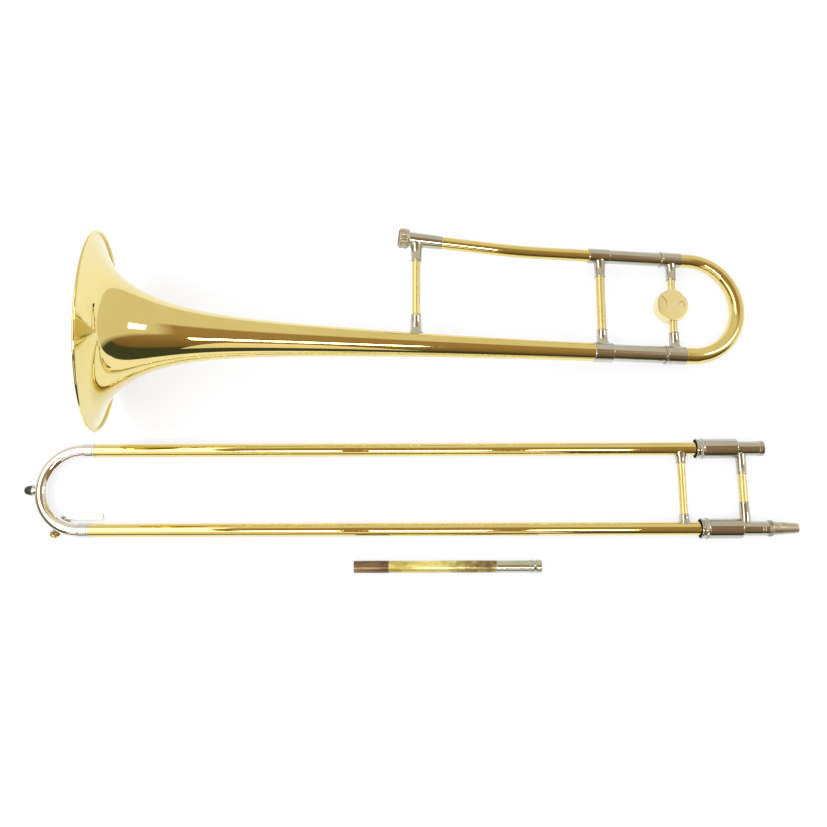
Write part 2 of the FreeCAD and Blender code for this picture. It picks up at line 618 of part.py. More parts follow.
def brace_pieces(name, station, radius, bell_side, mouthpiece_side, carrier_radius, flare):
    """A stay between the slide's legs: a tube in two sockets. The sides give where the tube starts."""
    start, end = bell_side, mouthpiece_side
    base = point(station)
    far = point(station, SLIDE_WIDTH)
    near_leg = carrier(carrier_radius, ZERO)
    far_leg = carrier(carrier_radius, leg(SLIDE_WIDTH))
    sleeve = radius + 0.5
    foot = carrier_radius - 3.0
    neck = carrier_radius + 3.5
    bore = radius + SOLDER
    return {
        name + "_brace_bell_socket": saddle_socket(
            (foot, neck, start, sleeve, flare), bore, base, ACROSS, near_leg),
        name + "_brace_mouthpiece_socket": saddle_socket(
            (foot, neck, SLIDE_WIDTH - end, sleeve, flare), bore, far, point(0, -1), far_leg),
        name + "_brace_tube": rod(neck + 0.2, SLIDE_WIDTH - neck - 0.2, radius, base, ACROSS)}


def inner_slide():
    pieces = {
        "inner_tube_bell_side": inner_tube(leg(0)),
        "inner_tube_mouthpiece_side": inner_tube(leg(SLIDE_WIDTH)),
        "barrel_bell_side": barrel(leg(0)),
        "barrel_mouthpiece_side": barrel(leg(SLIDE_WIDTH)),
        "barrel_collar": collar(BARREL_NECK_RADIUS + SOLDER, leg(SLIDE_WIDTH)),
        "barrel_corks": barrel_corks(),
        "slide_lock_ring": lock_ring(),
        "mouthpiece_receiver": mouthpiece_receiver(),
        "tenon_sleeve": tenon_sleeve(),
        "thread_ring": thread_ring(),
        "slide_tenon": slide_tenon()}
    pieces.update(brace_pieces("inner", INNER_BRACE, 4.7, 28.2, 57.9, 7.85, 5.9))
    return pieces


def slide_crook_bar(radius):
    """The crook's bend and short straight legs, as a filled bar of the given radius."""
    bend = half_turn(CROOK_TANGENT, CROOK_RADIUS, CROOK_RADIUS, radius)
    for offset in (0.0, SLIDE_WIDTH):
        bend = bend.fuse(rod(CROOK_TANGENT, CROOK_LEG_END, radius, leg(offset)))
    return bend


def crook_ferrule(base):
    start, end, outer = FERRULE
    fit = OUTER_RADIUS + SOLDER
    return turned([(start, fit), (end, fit), (end, outer - 0.3), (end - 0.3, outer), (start + 0.8, outer),
                   (start, outer - 0.4)], base)


def rubber_bumper():
    """Bullet-shaped bumper, plugged into its socket."""
    edges = [
        Part.Arc(point(0, 0), point(1.6, 3.6), point(5.6, BUMPER_RADIUS - 0.1)).toShape(),
        Part.makeLine(point(5.6, BUMPER_RADIUS - 0.1), point(BUMPER_BASE, BUMPER_RADIUS)),
        Part.makeLine(point(BUMPER_BASE, BUMPER_RADIUS), point(BUMPER_BASE, 0)),
        Part.makeLine(point(BUMPER_BASE, 0), point(0, 0))]
    return aimed(Part.Face(Part.Wire(edges)).revolve(ZERO, ALONG, 360), leg(CROOK_RADIUS), ALONG)


def bumper_socket(crook):
    """Short turned seat for the bumper, cut to sit on the crook's apex."""
    start = BUMPER_BASE + 0.02
    end = BUMPER_BASE + 7.0
    front, back = BUMPER_SOCKET
    body = turned([(start, 0), (end, 0), (end, back), (start + 0.8, front), (start, front)], leg(CROOK_RADIUS))
    return body.cut(crook)


def outer_slide():
    grown = slide_crook_bar(OUTER_RADIUS + SOLDER)
    drain = rod(4.0, 12.0, 1.4, key_point(CROOK_RADIUS), key_heading())
    pin = Part.makeCylinder(1.2, LOCK_PIN_HEIGHT, point(LOCK_PIN_STATION), UP)
    pin = pin.cut(rod(LOCK_PIN_STATION - 5, LOCK_PIN_STATION + 5, OUTER_RADIUS + SOLDER / 2))
    outer_start = CROOK_LEG_END + 0.1
    pieces = {
        "outer_tube_bell_side": tube(outer_start, OUTER_END, OUTER_RADIUS, OUTER_BORE, leg(0)),
        "outer_tube_mouthpiece_side": tube(
            outer_start, OUTER_END, OUTER_RADIUS, OUTER_BORE, leg(SLIDE_WIDTH)),
        "slide_lock_pin": pin,
        "slide_crook": slide_crook_bar(OUTER_RADIUS).cut(slide_crook_bar(OUTER_BORE)).cut(drain),
        "crook_ferrule_bell_side": crook_ferrule(leg(0)),
        "crook_ferrule_mouthpiece_side": crook_ferrule(leg(SLIDE_WIDTH)),
        "bumper_socket": bumper_socket(grown),
        "rubber_bumper": rubber_bumper()}
    pieces.update(brace_pieces("outer", OUTER_BRACE, 4.2, 15.6, 69.6, OUTER_RADIUS, 6.4))
    pieces.update(key_mount(grown))
    return pieces


# ---------------------------------------------------------------- water key
def key_radial():
    angle = math.radians(KEY_ANGLE)
    return point(-math.sin(angle), -math.cos(angle))


def key_tangent():
    angle = math.radians(KEY_ANGLE)
    return point(math.cos(angle), -math.sin(angle))


def key_point(reach, along=0.0, height=0.0):
    """Point at a reach from the crook's centre of bend, where the water key crosses the tube."""
    centre = point(CROOK_TANGENT, CROOK_RADIUS)
    return centre + key_radial() * reach + key_tangent() * along + UP * height


def key_heading():
    tilt = math.radians(KEY_TILT)
    return key_radial() * math.cos(tilt) - UP * math.sin(tilt)


def pivot_point(along=0.0):
    drop = PIVOT_REACH * math.sqrt(0.5)
    return key_point(CROOK_RADIUS - drop, along, -drop)


def key_block(reach, along, height, sizes):
    """Box in the key's own directions: reach, along the tube and height, from its low corner."""
    box = Part.makeBox(*sizes)
    turn = FreeCAD.Rotation(key_radial(), key_tangent(), UP, "XYZ")
    box.Placement = FreeCAD.Placement(key_point(reach, along, height), turn)
    return box


def key_mount(grown_crook):
    """Nipple, saddle and pivot screw, which stay on the crook."""
    tube_centre = key_point(CROOK_RADIUS)
    nipple = rod(5.0, NIPPLE_REACH, 2.8, tube_centre, key_heading()).cut(grown_crook)
    nipple = nipple.cut(rod(4.0, 12.0, 1.4, tube_centre, key_heading()))
    inward = pivot_point() - tube_centre
    inward.normalize()
    low, high = LUG_SPAN
    turn = FreeCAD.Rotation(inward, key_tangent(), inward.cross(key_tangent()), "XYZ")
    base_plate = Part.makeBox(2.6, 2 * high, 4.4, point(5.5, -high, -2.2))
    saddle = base_plate
    for start in (-high, low):
        saddle = saddle.fuse(Part.makeBox(PIVOT_REACH - 5.5, high - low, 2 * LUG_RADIUS,
                                          point(5.5, start, -LUG_RADIUS)))
        saddle = saddle.fuse(Part.makeCylinder(LUG_RADIUS, high - low, point(PIVOT_REACH, start), ACROSS))
    hole = Part.makeCylinder(0.95 + SOLDER, 4 * high, point(PIVOT_REACH, -2 * high), ACROSS)
    saddle = saddle.cut(hole)
    saddle.Placement = FreeCAD.Placement(tube_centre, turn)
    saddle = saddle.cut(grown_crook)
    screw = rod(-high - 0.4, high, 0.95, pivot_point(), key_tangent())
    screw = screw.fuse(rod(high + 0.02, high + 0.9, 1.6, pivot_point(), key_tangent()))
    screw = screw.fuse(rod(high - 0.5, high + 0.5, 0.95, pivot_point(), key_tangent()))
    return {"water_key_nipple": nipple, "water_key_saddle": saddle, "water_key_pivot_screw": screw}


def water_key():
    """Cup, cork, lever and spring, which turn together on the pivot screw."""
    tube_centre = key_point(CROOK_RADIUS)
    heading = key_heading()
    near, far = CUP_REACH
    cork_far = near + 1.3
    seat = CORK_RADIUS + SOLDER
    cup = turned([
        (near, seat), (cork_far + 0.02, seat), (cork_far + 0.02, 0.0), (far, 0.0), (far, CUP_RADIUS - 1.2),
        (far - 1.2, CUP_RADIUS), (near, CUP_RADIUS)], tube_centre, heading)
    cork = rod(NIPPLE_REACH + 0.08, cork_far, CORK_RADIUS, tube_centre, heading)
    low, high = LEVER_PLATE
    pivot = pivot_point()
    pivot_reach = CROOK_RADIUS - PIVOT_REACH * math.sqrt(0.5)
    floor = -SLIDE_HEIGHT
    half_arm = 1.5
    barrel_radius = 1.75
    lever = rod(-2.9, 2.9, barrel_radius, pivot, key_tangent())
    lever = lever.fuse(key_block(pivot_reach, -half_arm, floor, (15.0, 2 * half_arm, LEVER_STRAP)))
    riser = key_block(pivot_reach - 0.9, -half_arm, floor, (2.0, 2 * half_arm, pivot.z - floor))
    lever = lever.fuse(riser)
    lever = lever.fuse(key_block(CROOK_RADIUS + 2.0, -3.2, floor, (10.5, 6.4, LEVER_STRAP)))
    lever = lever.cut(rod(near - 0.6, far + 0.3, CUP_RADIUS + 0.02, tube_centre, heading))
    heel = key_block(pivot_reach - 5.6, -half_arm, floor + low, (5.6, 2 * half_arm, high - low))
    shank_start = key_point(pivot_reach - 4.4, 0.0, floor + low)
    shank = Part.makeBox(12.0, 4.0, high - low, point(0, -2.0))
    pad_start = point(55.0, 13.6)
    heading_in = pad_start - point(shank_start.x, shank_start.y)
    shank.Placement = FreeCAD.Placement(
        shank_start, FreeCAD.Rotation(UP, math.degrees(math.atan2(heading_in.y, heading_in.x))))
    pad_end = point(81.0, 14.4)
    pad = touchpiece(pad_start, pad_end, 3.5, floor + low, high - low)
    lever = lever.fuse(heel).fuse(shank).fuse(pad)
    bore = rod(-4.0, 4.0, 0.95 + RUNNING, pivot, key_tangent())
    lever = lever.cut(bore).removeSplitter()
    coils = [tube(start, start + 1.2, 2.3, barrel_radius + 0.05, pivot, key_tangent())
             for start in (-2.85, 1.65)]
    return {"water_key_cup": cup, "water_key_cork": cork, "water_key_lever": lever,
            "water_key_spring": Part.makeCompound(coils)}


def touchpiece(start, end, half_width, height, thickness):
    """Flat finger plate with round ends, from the middle of one end to the middle of the other."""
    run = end - start
    plate = Part.makeBox(run.Length, 2 * half_width, thickness, point(0, -half_width))
    plate.Placement = FreeCAD.Placement(
        point(start.x, start.y, height), FreeCAD.Rotation(UP, math.degrees(math.atan2(run.y, run.x))))
    for centre in (start, end):
        plate = plate.fuse(Part.makeCylinder(half_width, thickness, point(centre.x, centre.y, height), UP))
    return plate


# ---------------------------------------------------------------- leadpipe
def leadpipe():
    """Venturi tube with a nickel sleeve and threaded ring at its mouthpiece end."""
    skin = 0.45
    thin = LEADPIPE_RADIUS - skin
    end = LEADPIPE_LENGTH
    throat = end - SHANK_DEPTH
    pipe = turned([
        (0.0, LEADPIPE_RADIUS - 0.35), (throat, SHANK_THROAT), (end, SHANK_MOUTH), (end, thin),
        (LEADPIPE_SLEEVE, thin), (LEADPIPE_SLEEVE, LEADPIPE_RADIUS), (0.0, LEADPIPE_RADIUS)])
    inside = thin + SOLDER
    ring = LEADPIPE_RING_RADIUS
    root = ring - 0.35
    groove_start, groove_end = LEADPIPE_GROOVE
    start = LEADPIPE_RING
    sleeve = turned([
        (LEADPIPE_SLEEVE + 0.02, inside), (end, inside), (end, ring - 0.4), (end - 0.5, ring),
        (groove_end, ring), (groove_end, root), (groove_start, root), (groove_start, ring),
        (start + 0.6, ring),
        (start, LEADPIPE_RADIUS + 0.1), (LEADPIPE_SLEEVE + 0.02, LEADPIPE_RADIUS + 0.1)])
    return {"leadpipe_tube": pipe, "leadpipe_collar": sleeve}


# ---------------------------------------------------------------- output
def export(pieces, placement):
    for name, shape in pieces.items():
        shape.Placement = placement.multiply(shape.Placement)
        shape.exportStep("parts/" + name + ".step")


def main():
    os.makedirs("parts", exist_ok=True)
    slide = point(-SLIDE_LENGTH / 2, -LAYOUT_CENTRE_Y, SLIDE_HEIGHT)
    loose = point(LEADPIPE_START - SLIDE_LENGTH / 2, LEADPIPE_OFFSET - LAYOUT_CENTRE_Y, LEADPIPE_RING_RADIUS)
    level = FreeCAD.Rotation()
    export(bell_section(), bell_placement())
    export(inner_slide(), FreeCAD.Placement(slide, level))
    export(outer_slide(), FreeCAD.Placement(slide, level))
    export(water_key(), FreeCAD.Placement(slide, level))
    export(leadpipe(), FreeCAD.Placement(loose, level))


main()
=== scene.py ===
"""The finished look of a tenor trombone that lies in three sections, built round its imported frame.

Blender works in metres in the row frame; the shapes here are worked out in millimetres in the same frame.
"""
import json
import math

import bmesh
import bpy
from mathutils import Euler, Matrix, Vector


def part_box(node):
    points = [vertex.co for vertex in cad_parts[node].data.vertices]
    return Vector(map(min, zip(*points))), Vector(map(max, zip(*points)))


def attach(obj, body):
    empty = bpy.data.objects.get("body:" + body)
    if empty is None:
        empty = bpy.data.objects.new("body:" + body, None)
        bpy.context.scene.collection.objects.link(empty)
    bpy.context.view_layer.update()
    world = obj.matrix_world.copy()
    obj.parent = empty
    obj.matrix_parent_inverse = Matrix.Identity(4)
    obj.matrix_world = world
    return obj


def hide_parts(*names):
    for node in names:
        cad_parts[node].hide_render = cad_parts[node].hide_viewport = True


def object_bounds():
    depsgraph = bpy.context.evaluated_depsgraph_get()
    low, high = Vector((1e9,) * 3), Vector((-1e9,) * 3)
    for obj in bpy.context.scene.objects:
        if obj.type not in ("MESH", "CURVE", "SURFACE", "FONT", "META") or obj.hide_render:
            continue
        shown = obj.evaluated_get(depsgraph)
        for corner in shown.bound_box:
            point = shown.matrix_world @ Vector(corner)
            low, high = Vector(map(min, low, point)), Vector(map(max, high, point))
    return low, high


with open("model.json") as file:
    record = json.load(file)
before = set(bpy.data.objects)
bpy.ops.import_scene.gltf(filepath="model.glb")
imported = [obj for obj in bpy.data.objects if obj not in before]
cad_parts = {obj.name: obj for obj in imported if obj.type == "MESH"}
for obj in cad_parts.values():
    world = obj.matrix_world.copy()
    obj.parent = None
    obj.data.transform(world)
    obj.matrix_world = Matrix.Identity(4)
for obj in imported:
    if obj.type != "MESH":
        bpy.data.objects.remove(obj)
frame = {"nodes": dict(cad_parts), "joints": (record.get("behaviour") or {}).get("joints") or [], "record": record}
CAD_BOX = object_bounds()

MM = 0.001
NODES = frame["nodes"]
RECORD = frame["record"]
MOUNTS = {mount["name"]: mount for mount in RECORD["mounts"]}
JOINTS = {joint["name"]: joint for joint in frame["joints"]}
SLOTS = {part["node"]: part["material_slot"] for part in RECORD["subparts"]}

# ---------------------------------------------------------------- view
CAMERA_AT = (0.0097, -0.2022, 0.9650)
CAMERA_TURN = (11.316, 0.280, -0.165)   # degrees about X, Y and Z
SENSOR = 36.0
FOCAL = 38.79

# ---------------------------------------------------------------- sizes, millimetres
EDGE = 0.35                     # usual rounding of a turned edge
SUPPORT = 0.15                  # how close a ring backs up a rounded edge, so that long faces shade true
AXIS = 0.001                    # radius of a ring that closes a shape on its own axis
ROUND = 96                      # usual number of points round a circle
CREASE = 32.0                   # degrees above which an edge stays sharp
BELL_END = 530.0
BELL_WALL = 0.6
BELL_TAPER = (-33.9, 0.0367)    # radius at the mouth and slope of the bell's straight part
BELL_DECAYS = ((61.7, 572.0), (55.5, 40.8), (19.1, 6.39))   # what flares add to it: size, length
NECK_TANGENT = 28.0             # from the neck's corner to each end of its bend
NECK_WALL = 0.55
TUNING_RADII = (9.2, 7.5)       # tuning crook, at its bell and neck ends
TUNE_WALL = 0.6
SEAM_RING = 0.6                 # height of the seam ring on a tuning ferrule
SLIDE_CROOK_WALL = 0.4
SLIDE_FIT = 6.72                # bore of whatever sits on an inner tube
DIPPED = 36.4                   # length of the leadpipe's dark dipped end


# ---------------------------------------------------------------- places
class Place:
    """An origin and three unit directions to build along: along, side and up."""

    def __init__(self, origin, along, side):
        self.origin = Vector(origin)
        self.along = Vector(along).normalized()
        self.up = self.along.cross(Vector(side)).normalized()
        self.side = self.up.cross(self.along)

    def at(self, along=0.0, side=0.0, up=0.0):
        return self.origin + self.along * along + self.side * side + self.up * up

    def shifted(self, along=0.0, side=0.0, up=0.0):
        return Place(self.at(along, side, up), self.along, self.side)

    def local(self, spot):
        away = spot - self.origin
        return Vector((away.dot(self.along), away.dot(self.side), away.dot(self.up)))

    def extent(self, node):
        """Lowest and highest corner of a CAD node, in this place's own directions."""
        spots = [self.local(vertex.co / MM) for vertex in NODES[node].data.vertices]
        low = Vector(min(spot[axis] for spot in spots) for axis in range(3))
        high = Vector(max(spot[axis] for spot in spots) for axis in range(3))
        return low, high

    def middle(self, node):
        low, high = self.extent(node)
        return (low + high) / 2

    def span(self, node):
        """Start and end of a CAD node along this axis, and its largest distance from it."""
        spots = [self.local(vertex.co / MM) for vertex in NODES[node].data.vertices]
        stations = [spot.x for spot in spots]
        return min(stations), max(stations), max(math.hypot(spot.y, spot.z) for spot in spots)


def millimetres(position):
    return Vector(position) / MM


def bell_place():
    mouth = MOUNTS["bell_mouth"]
    origin = millimetres(mouth["pos_m"])
    along = -Vector(mouth["axis"])
    towards_neck = millimetres(MOUNTS["neck_socket"]["pos_m"]) - origin
    return Place(origin, along, towards_neck)


def neck_place():
    nut = JOINTS["lock_nut_turn"]
    return Place(millimetres(nut["pos_m"]), nut["axis"], (0, -1, 0))


def tube_place(node, start_node):
    """Axis along +X through the middle of a tube, with its stations counted from start_node's low end."""
    low, high = (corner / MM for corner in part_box(node))
    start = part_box(start_node)[0].x / MM
    middle = (low + high) / 2
    return Place((start, middle.y, middle.z), (1, 0, 0), (0, 1, 0))


BELL = bell_place()
NECK_LEG = BELL.shifted(side=BELL.middle("tuning_sleeve_neck_side").y)
NECK = neck_place()
LEG = tube_place("outer_tube_bell_side", "rubber_bumper")
FAR_LEG = tube_place("outer_tube_mouthpiece_side", "rubber_bumper")
LEAD = tube_place("leadpipe_tube", "leadpipe_tube")
SLIDE_WIDTH = FAR_LEG.origin.y - LEG.origin.y
SLIDE_LEGS = ((LEG, "bell_side"), (FAR_LEG, "mouthpiece_side"))


# ---------------------------------------------------------------- materials
class Nodes:
    """A node tree under construction."""

    def __init__(self, tree):
        self.tree = tree

    def add(self, kind, **settings):
        node = self.tree.nodes.new(kind)
        for name, value in settings.items():
            setattr(node, name, value)
        return node

    def link(self, source, target):
        self.tree.links.new(source, target)

    def axes(self, vector):
        """Outputs X, Y and Z of a vector."""
        node = self.add("ShaderNodeSeparateXYZ")
        self.link(vector, node.inputs["Vector"])
        return node.outputs

    def worked(self, operation, first, second):
        """Result of a math operation on two values."""
        node = self.add("ShaderNodeMath", operation=operation)
        self.link(first, node.inputs[0])
        self.link(second, node.inputs[1])
        return node.outputs["Value"]

    def ramp(self, factor, stops, smooth=True):
        node = self.add("ShaderNodeValToRGB")
        ramp = node.color_ramp
        ramp.interpolation = "EASE" if smooth else "LINEAR"
        while len(ramp.elements) < len(stops):
            ramp.elements.new(1.0)
        for element, (position, colour) in zip(ramp.elements, stops):
            element.position = position
            element.color = (*colour, 1.0)
        self.link(factor, node.inputs["Fac"])
        return node.outputs["Color"]

    def mapped(self, value, low, high, to_low=0.0, to_high=1.0):
        node = self.add("ShaderNodeMapRange")
        self.link(value, node.inputs["Value"])
        for name, number in zip(("From Min", "From Max", "To Min", "To Max"), (low, high, to_low, to_high)):
            node.inputs[name].default_value = number
        return node.outputs["Result"]

    def mix(self, factor, first, second):
        """Colour between first, an output, and second, an output or a plain colour."""
        node = self.add("ShaderNodeMix", data_type="RGBA")
        self.link(factor, node.inputs[0])
        self.link(first, node.inputs[6])
        if isinstance(second, bpy.types.NodeSocket):
            self.link(second, node.inputs[7])
        else:
            node.inputs[7].default_value = (*second, 1.0)
        return node.outputs[2]


class Shader(Nodes):
    """A Principled material under construction."""

    def __init__(self, name):
        self.material = bpy.data.materials.new(name)
        self.material.use_nodes = True
        super().__init__(self.material.node_tree)
        self.surface = self.tree.nodes["Principled BSDF"]
        self.place = self.add("ShaderNodeTexCoord").outputs["Object"]

    def stretched(self, scale):
        """Object coordinates multiplied by scale along each axis."""
        mapping = self.add("ShaderNodeMapping")
        mapping.inputs["Scale"].default_value = scale
        self.link(self.place, mapping.inputs["Vector"])
        return mapping.outputs["Vector"]

    def noise(self, scale, detail=3.0, roughness=0.55, vector=None):
        node = self.add("ShaderNodeTexNoise")
        node.inputs["Scale"].default_value = scale
        node.inputs["Detail"].default_value = detail
        node.inputs["Roughness"].default_value = roughness
        self.link(vector or self.place, node.inputs["Vector"])
        return node.outputs["Fac"]

    def colour(self, socket):
        self.link(socket, self.surface.inputs["Base Color"])

    def rough(self, socket):
        self.link(socket, self.surface.inputs["Roughness"])

    def bump(self, height, strength, distance):
        """Bump from a height; each material has one."""
        node = self.add("ShaderNodeBump")
        node.inputs["Strength"].default_value = strength
        node.inputs["Distance"].default_value = distance
        self.link(height, node.inputs["Height"])
        self.link(node.outputs["Normal"], self.surface.inputs["Normal"])

    def set(self, **values):
        for name, value in values.items():
            self.surface.inputs[name.replace("_", " ")].default_value = value


def polished(name, bright, deep, gloss, coat=0.0, wave=0.00002):
    """Buffed metal: slow colour drift, fine buffing marks in the gloss, and a faintly uneven surface."""
    shader = Shader(name)
    shader.set(Metallic=1.0)
    drift = shader.noise(14.0, 2.0)
    shader.colour(shader.ramp(drift, ((0.3, deep), (0.7, bright))))
    marks = shader.noise(420.0, 4.0, 0.7, shader.stretched((0.25, 1.0, 1.0)))
    shader.rough(shader.mapped(marks, 0.3, 0.75, gloss, gloss * 2.2))
    shader.bump(shader.noise(30.0, 1.0), 0.5, wave)
    if coat:
        shader.set(Coat_Weight=coat, Coat_Roughness=0.02, Coat_IOR=1.5)
    return shader.material


def aged_nickel():
    """Bare nickel silver with a dull green bloom."""
    shader = Shader("aged_nickel")
    shader.set(Metallic=1.0)
    bloom = shader.noise(160.0, 5.0, 0.6)
    shader.colour(shader.ramp(bloom, ((0.32, (0.30, 0.32, 0.22)), (0.5, (0.52, 0.48, 0.36)),
                                      (0.68, (0.70, 0.64, 0.54)))))
    shader.rough(shader.mapped(bloom, 0.3, 0.7, 0.5, 0.26))
    shader.bump(shader.noise(900.0, 4.0), 0.25, 0.00006)
    return shader.material


def aged_brass():
    """Drawn brass with a brown dipped end, olive stains and clean yellow metal between them."""
    shader = Shader("aged_brass")
    shader.set(Metallic=0.8)
    along = shader.axes(shader.place)["X"]
    start = LEAD.origin.x * MM
    wander = shader.noise(90.0, 3.0, 0.6)
    streaks = shader.noise(70.0, 5.0, 0.65, shader.stretched((0.32, 1.0, 1.0)))
    clean = shader.ramp(streaks, ((0.34, (0.42, 0.35, 0.10)), (0.46, (0.70, 0.61, 0.22)),
                                  (0.62, (0.84, 0.76, 0.36))))
    olive = shader.ramp(wander, ((0.35, (0.11, 0.07, 0.045)), (0.5, (0.27, 0.21, 0.09)),
                                 (0.66, (0.50, 0.43, 0.18))))
    dipped = shader.ramp(streaks, ((0.3, (0.12, 0.08, 0.05)), (0.5, (0.26, 0.17, 0.10)),
                                   (0.7, (0.42, 0.31, 0.17))))

    def change(waver, low, high, before, after):
        """Value that changes between two distances from the tube's start, along an uneven line."""
        line = shader.worked("ADD", along, shader.mapped(wander, 0.3, 0.7, -waver, waver))
        return shader.mapped(line, start + low, start + high, before, after)

    stained = change(0.022, 0.100, 0.118, 0.0, 0.85)
    dip = change(0.0007, DIPPED * MM, (DIPPED + 1.2) * MM, 1.0, 0.0)
    shader.colour(shader.mix(dip, shader.mix(stained, clean, olive), dipped))
    shader.rough(shader.mapped(streaks, 0.3, 0.7, 0.46, 0.28))
    shader.bump(streaks, 0.2, 0.00005)
    return shader.material


def grained(name, tones, tone_noise, grain_noise, rough, bump, **finish):
    """Material with patches of tone, and one grain in both its gloss and its surface."""
    shader = Shader(name)
    shader.set(**finish)
    shader.colour(shader.ramp(shader.noise(*tone_noise), tones))
    grain = shader.noise(*grain_noise)
    shader.rough(shader.mapped(grain, 0.3, 0.7, *rough))
    shader.bump(grain, *bump)
    return shader.material


def cork():
    shader = Shader("cork")
    cells = shader.noise(900.0, 5.0, 0.7)
    shader.colour(shader.ramp(cells, ((0.36, (0.14, 0.07, 0.03)), (0.48, (0.42, 0.26, 0.13)),
                                      (0.66, (0.58, 0.40, 0.22)))))
    shader.set(Roughness=0.85)
    shader.bump(cells, 0.6, 0.0002)
    return shader.material


MATERIALS = {
    "lacquered_brass": polished(
        "lacquered_brass", (0.83, 0.705, 0.285), (0.79, 0.66, 0.25), 0.028, coat=0.35),
    "nickel_silver": polished("nickel_silver", (0.60, 0.59, 0.53), (0.52, 0.50, 0.44), 0.06, wave=0.00003),
    "bright_nickel": polished("bright_nickel", (0.86, 0.84, 0.80), (0.80, 0.78, 0.74), 0.03),
    "chromed_tube": polished("chromed_tube", (0.78, 0.79, 0.80), (0.70, 0.71, 0.73), 0.04),
    "aged_nickel": aged_nickel(),
    "aged_brass": aged_brass(),
    # satin cast brass, slightly grained
    "gold_brass": grained("gold_brass", ((0.3, (0.88, 0.77, 0.40)), (0.7, (0.93, 0.84, 0.47))),
                          (60.0, 2.0), (700.0, 4.0, 0.6), (0.27, 0.34), (0.12, 0.00002),
                          Metallic=1.0, Coat_Weight=0.5, Coat_Roughness=0.08),
    "satin_brass": polished("satin_brass", (0.86, 0.73, 0.36), (0.80, 0.67, 0.31), 0.24),
    "dull_nickel": polished("dull_nickel", (0.58, 0.60, 0.52), (0.46, 0.49, 0.42), 0.12),
    "steel": polished("steel", (0.62, 0.61, 0.60), (0.50, 0.49, 0.48), 0.14),
    "rubber": grained("rubber", ((0.3, (0.010, 0.012, 0.014)), (0.7, (0.030, 0.034, 0.038))),
                      (200.0, 3.0), (1500.0, 3.0), (0.30, 0.48), (0.3, 0.00005)),
    "cork": cork(),
    # near-black painted shade inside the mouths of the cork barrels, where the recess lies in shadow, with some
    # real tarnish
    "shade_and_tarnish": grained("shade_and_tarnish", ((0.35, (0.006, 0.006, 0.005)), (0.7, (0.03, 0.025, 0.018))),
                     (800.0, 4.0), (800.0, 4.0), (0.5, 0.8), (0.3, 0.00005)),
}


# ---------------------------------------------------------------- meshes
BODY_OF = {node: body for body, members in RECORD["behaviour"]["bodies"].items() for node in members}


def add_piece(name, nodes, vertices, faces, sharp=CREASE, look=None):
    """A smooth mesh in millimetres that stands for CAD nodes, with their body, slot and material.

    look names a material other than the slot's usual one.
    """
    mesh = bpy.data.meshes.new(name)
    mesh.from_pydata([Vector(vertex) * MM for vertex in vertices], [], faces)
    tidy = bmesh.new()
    tidy.from_mesh(mesh)
    bmesh.ops.remove_doubles(tidy, verts=tidy.verts, dist=0.0000005)
    bmesh.ops.recalc_face_normals(tidy, faces=tidy.faces)
    tidy.to_mesh(mesh)
    tidy.free()
    mesh.polygons.foreach_set("use_smooth", [True] * len(mesh.polygons))
    mesh.set_sharp_from_angle(angle=math.radians(sharp))
    piece = bpy.data.objects.new(name, mesh)
    bpy.context.scene.collection.objects.link(piece)
    if nodes:
        slot = SLOTS[nodes[0]]
        mesh.materials.append(MATERIALS[look or slot])
        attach(piece, BODY_OF[nodes[0]])
        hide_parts(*nodes)
    return piece


def circle(count):
    """That many angles round a circle."""
    return [2 * math.pi * step / count for step in range(count)]


def evenly(start, end, steps):
    """Numbers from start to end, in so many equal steps."""
    return [start + (end - start) * step / steps for step in range(steps + 1)]


def join(*shapes):
    """Several (vertices, faces) shapes as one."""
    vertices, faces = [], []
    for more_vertices, more_faces in shapes:
        first = len(vertices)
        vertices += more_vertices
        faces += [tuple(first + index for index in face) for face in more_faces]
    return vertices, faces


def skin(rings, closed_loop=True):
    """Faces between rings of equal length; with closed_loop the last ring joins the first."""
    size = len(rings[0])
    vertices = [vertex for ring in rings for vertex in ring]
    faces = []
    for row in range(len(rings) if closed_loop else len(rings) - 1):
        here = row * size
        there = (row + 1) % len(rings) * size
        for step in range(size):
            after = (step + 1) % size
            faces.append((here + step, here + after, there + after, there + step))
    return vertices, faces


def capped(rings):
    """Closed bar through rings, with a flat cap at each end."""
    vertices, faces = skin(rings, closed_loop=False)
    size = len(rings[0])
    faces.append(tuple(range(size)))
    faces.append(tuple(range(len(vertices) - size, len(vertices))))
    return vertices, faces


def rounded(corners, steps=4):
    """Closed outline of (station, radius, rounding) corners, with arcs and points that back them up."""
    outline = []
    count = len(corners)
    for index, (station, radius, rounding) in enumerate(corners):
        here = Vector((station, radius))
        back = Vector(corners[index - 1][:2]) - here
        ahead = Vector(corners[(index + 1) % count][:2]) - here
        if not rounding:
            outline.append(here)
            continue
        size = min(rounding, back.length * 0.45, ahead.length * 0.45)
        start = here + back.normalized() * size
        end = here + ahead.normalized() * size
        backing = min(SUPPORT, size * 0.5)
        outline.append(start + back.normalized() * backing)
        for step in range(steps + 1):
            way = step / steps
            outline.append(start * (1 - way) ** 2 + here * 2 * way * (1 - way) + end * way ** 2)
        outline.append(end + ahead.normalized() * backing)
    return outline


def revolved(outline, place, segments=ROUND, relief=None):
    """Solid of revolution of a closed outline. relief(station, radius, angle) may change the radius."""
    rings = []
    for station, radius in outline:
        ring = []
        for angle in circle(segments):
            reach = relief(station, radius, angle) if relief else radius
            ring.append(place.at(station, reach * math.cos(angle), reach * math.sin(angle)))
        rings.append(ring)
    return skin(rings)


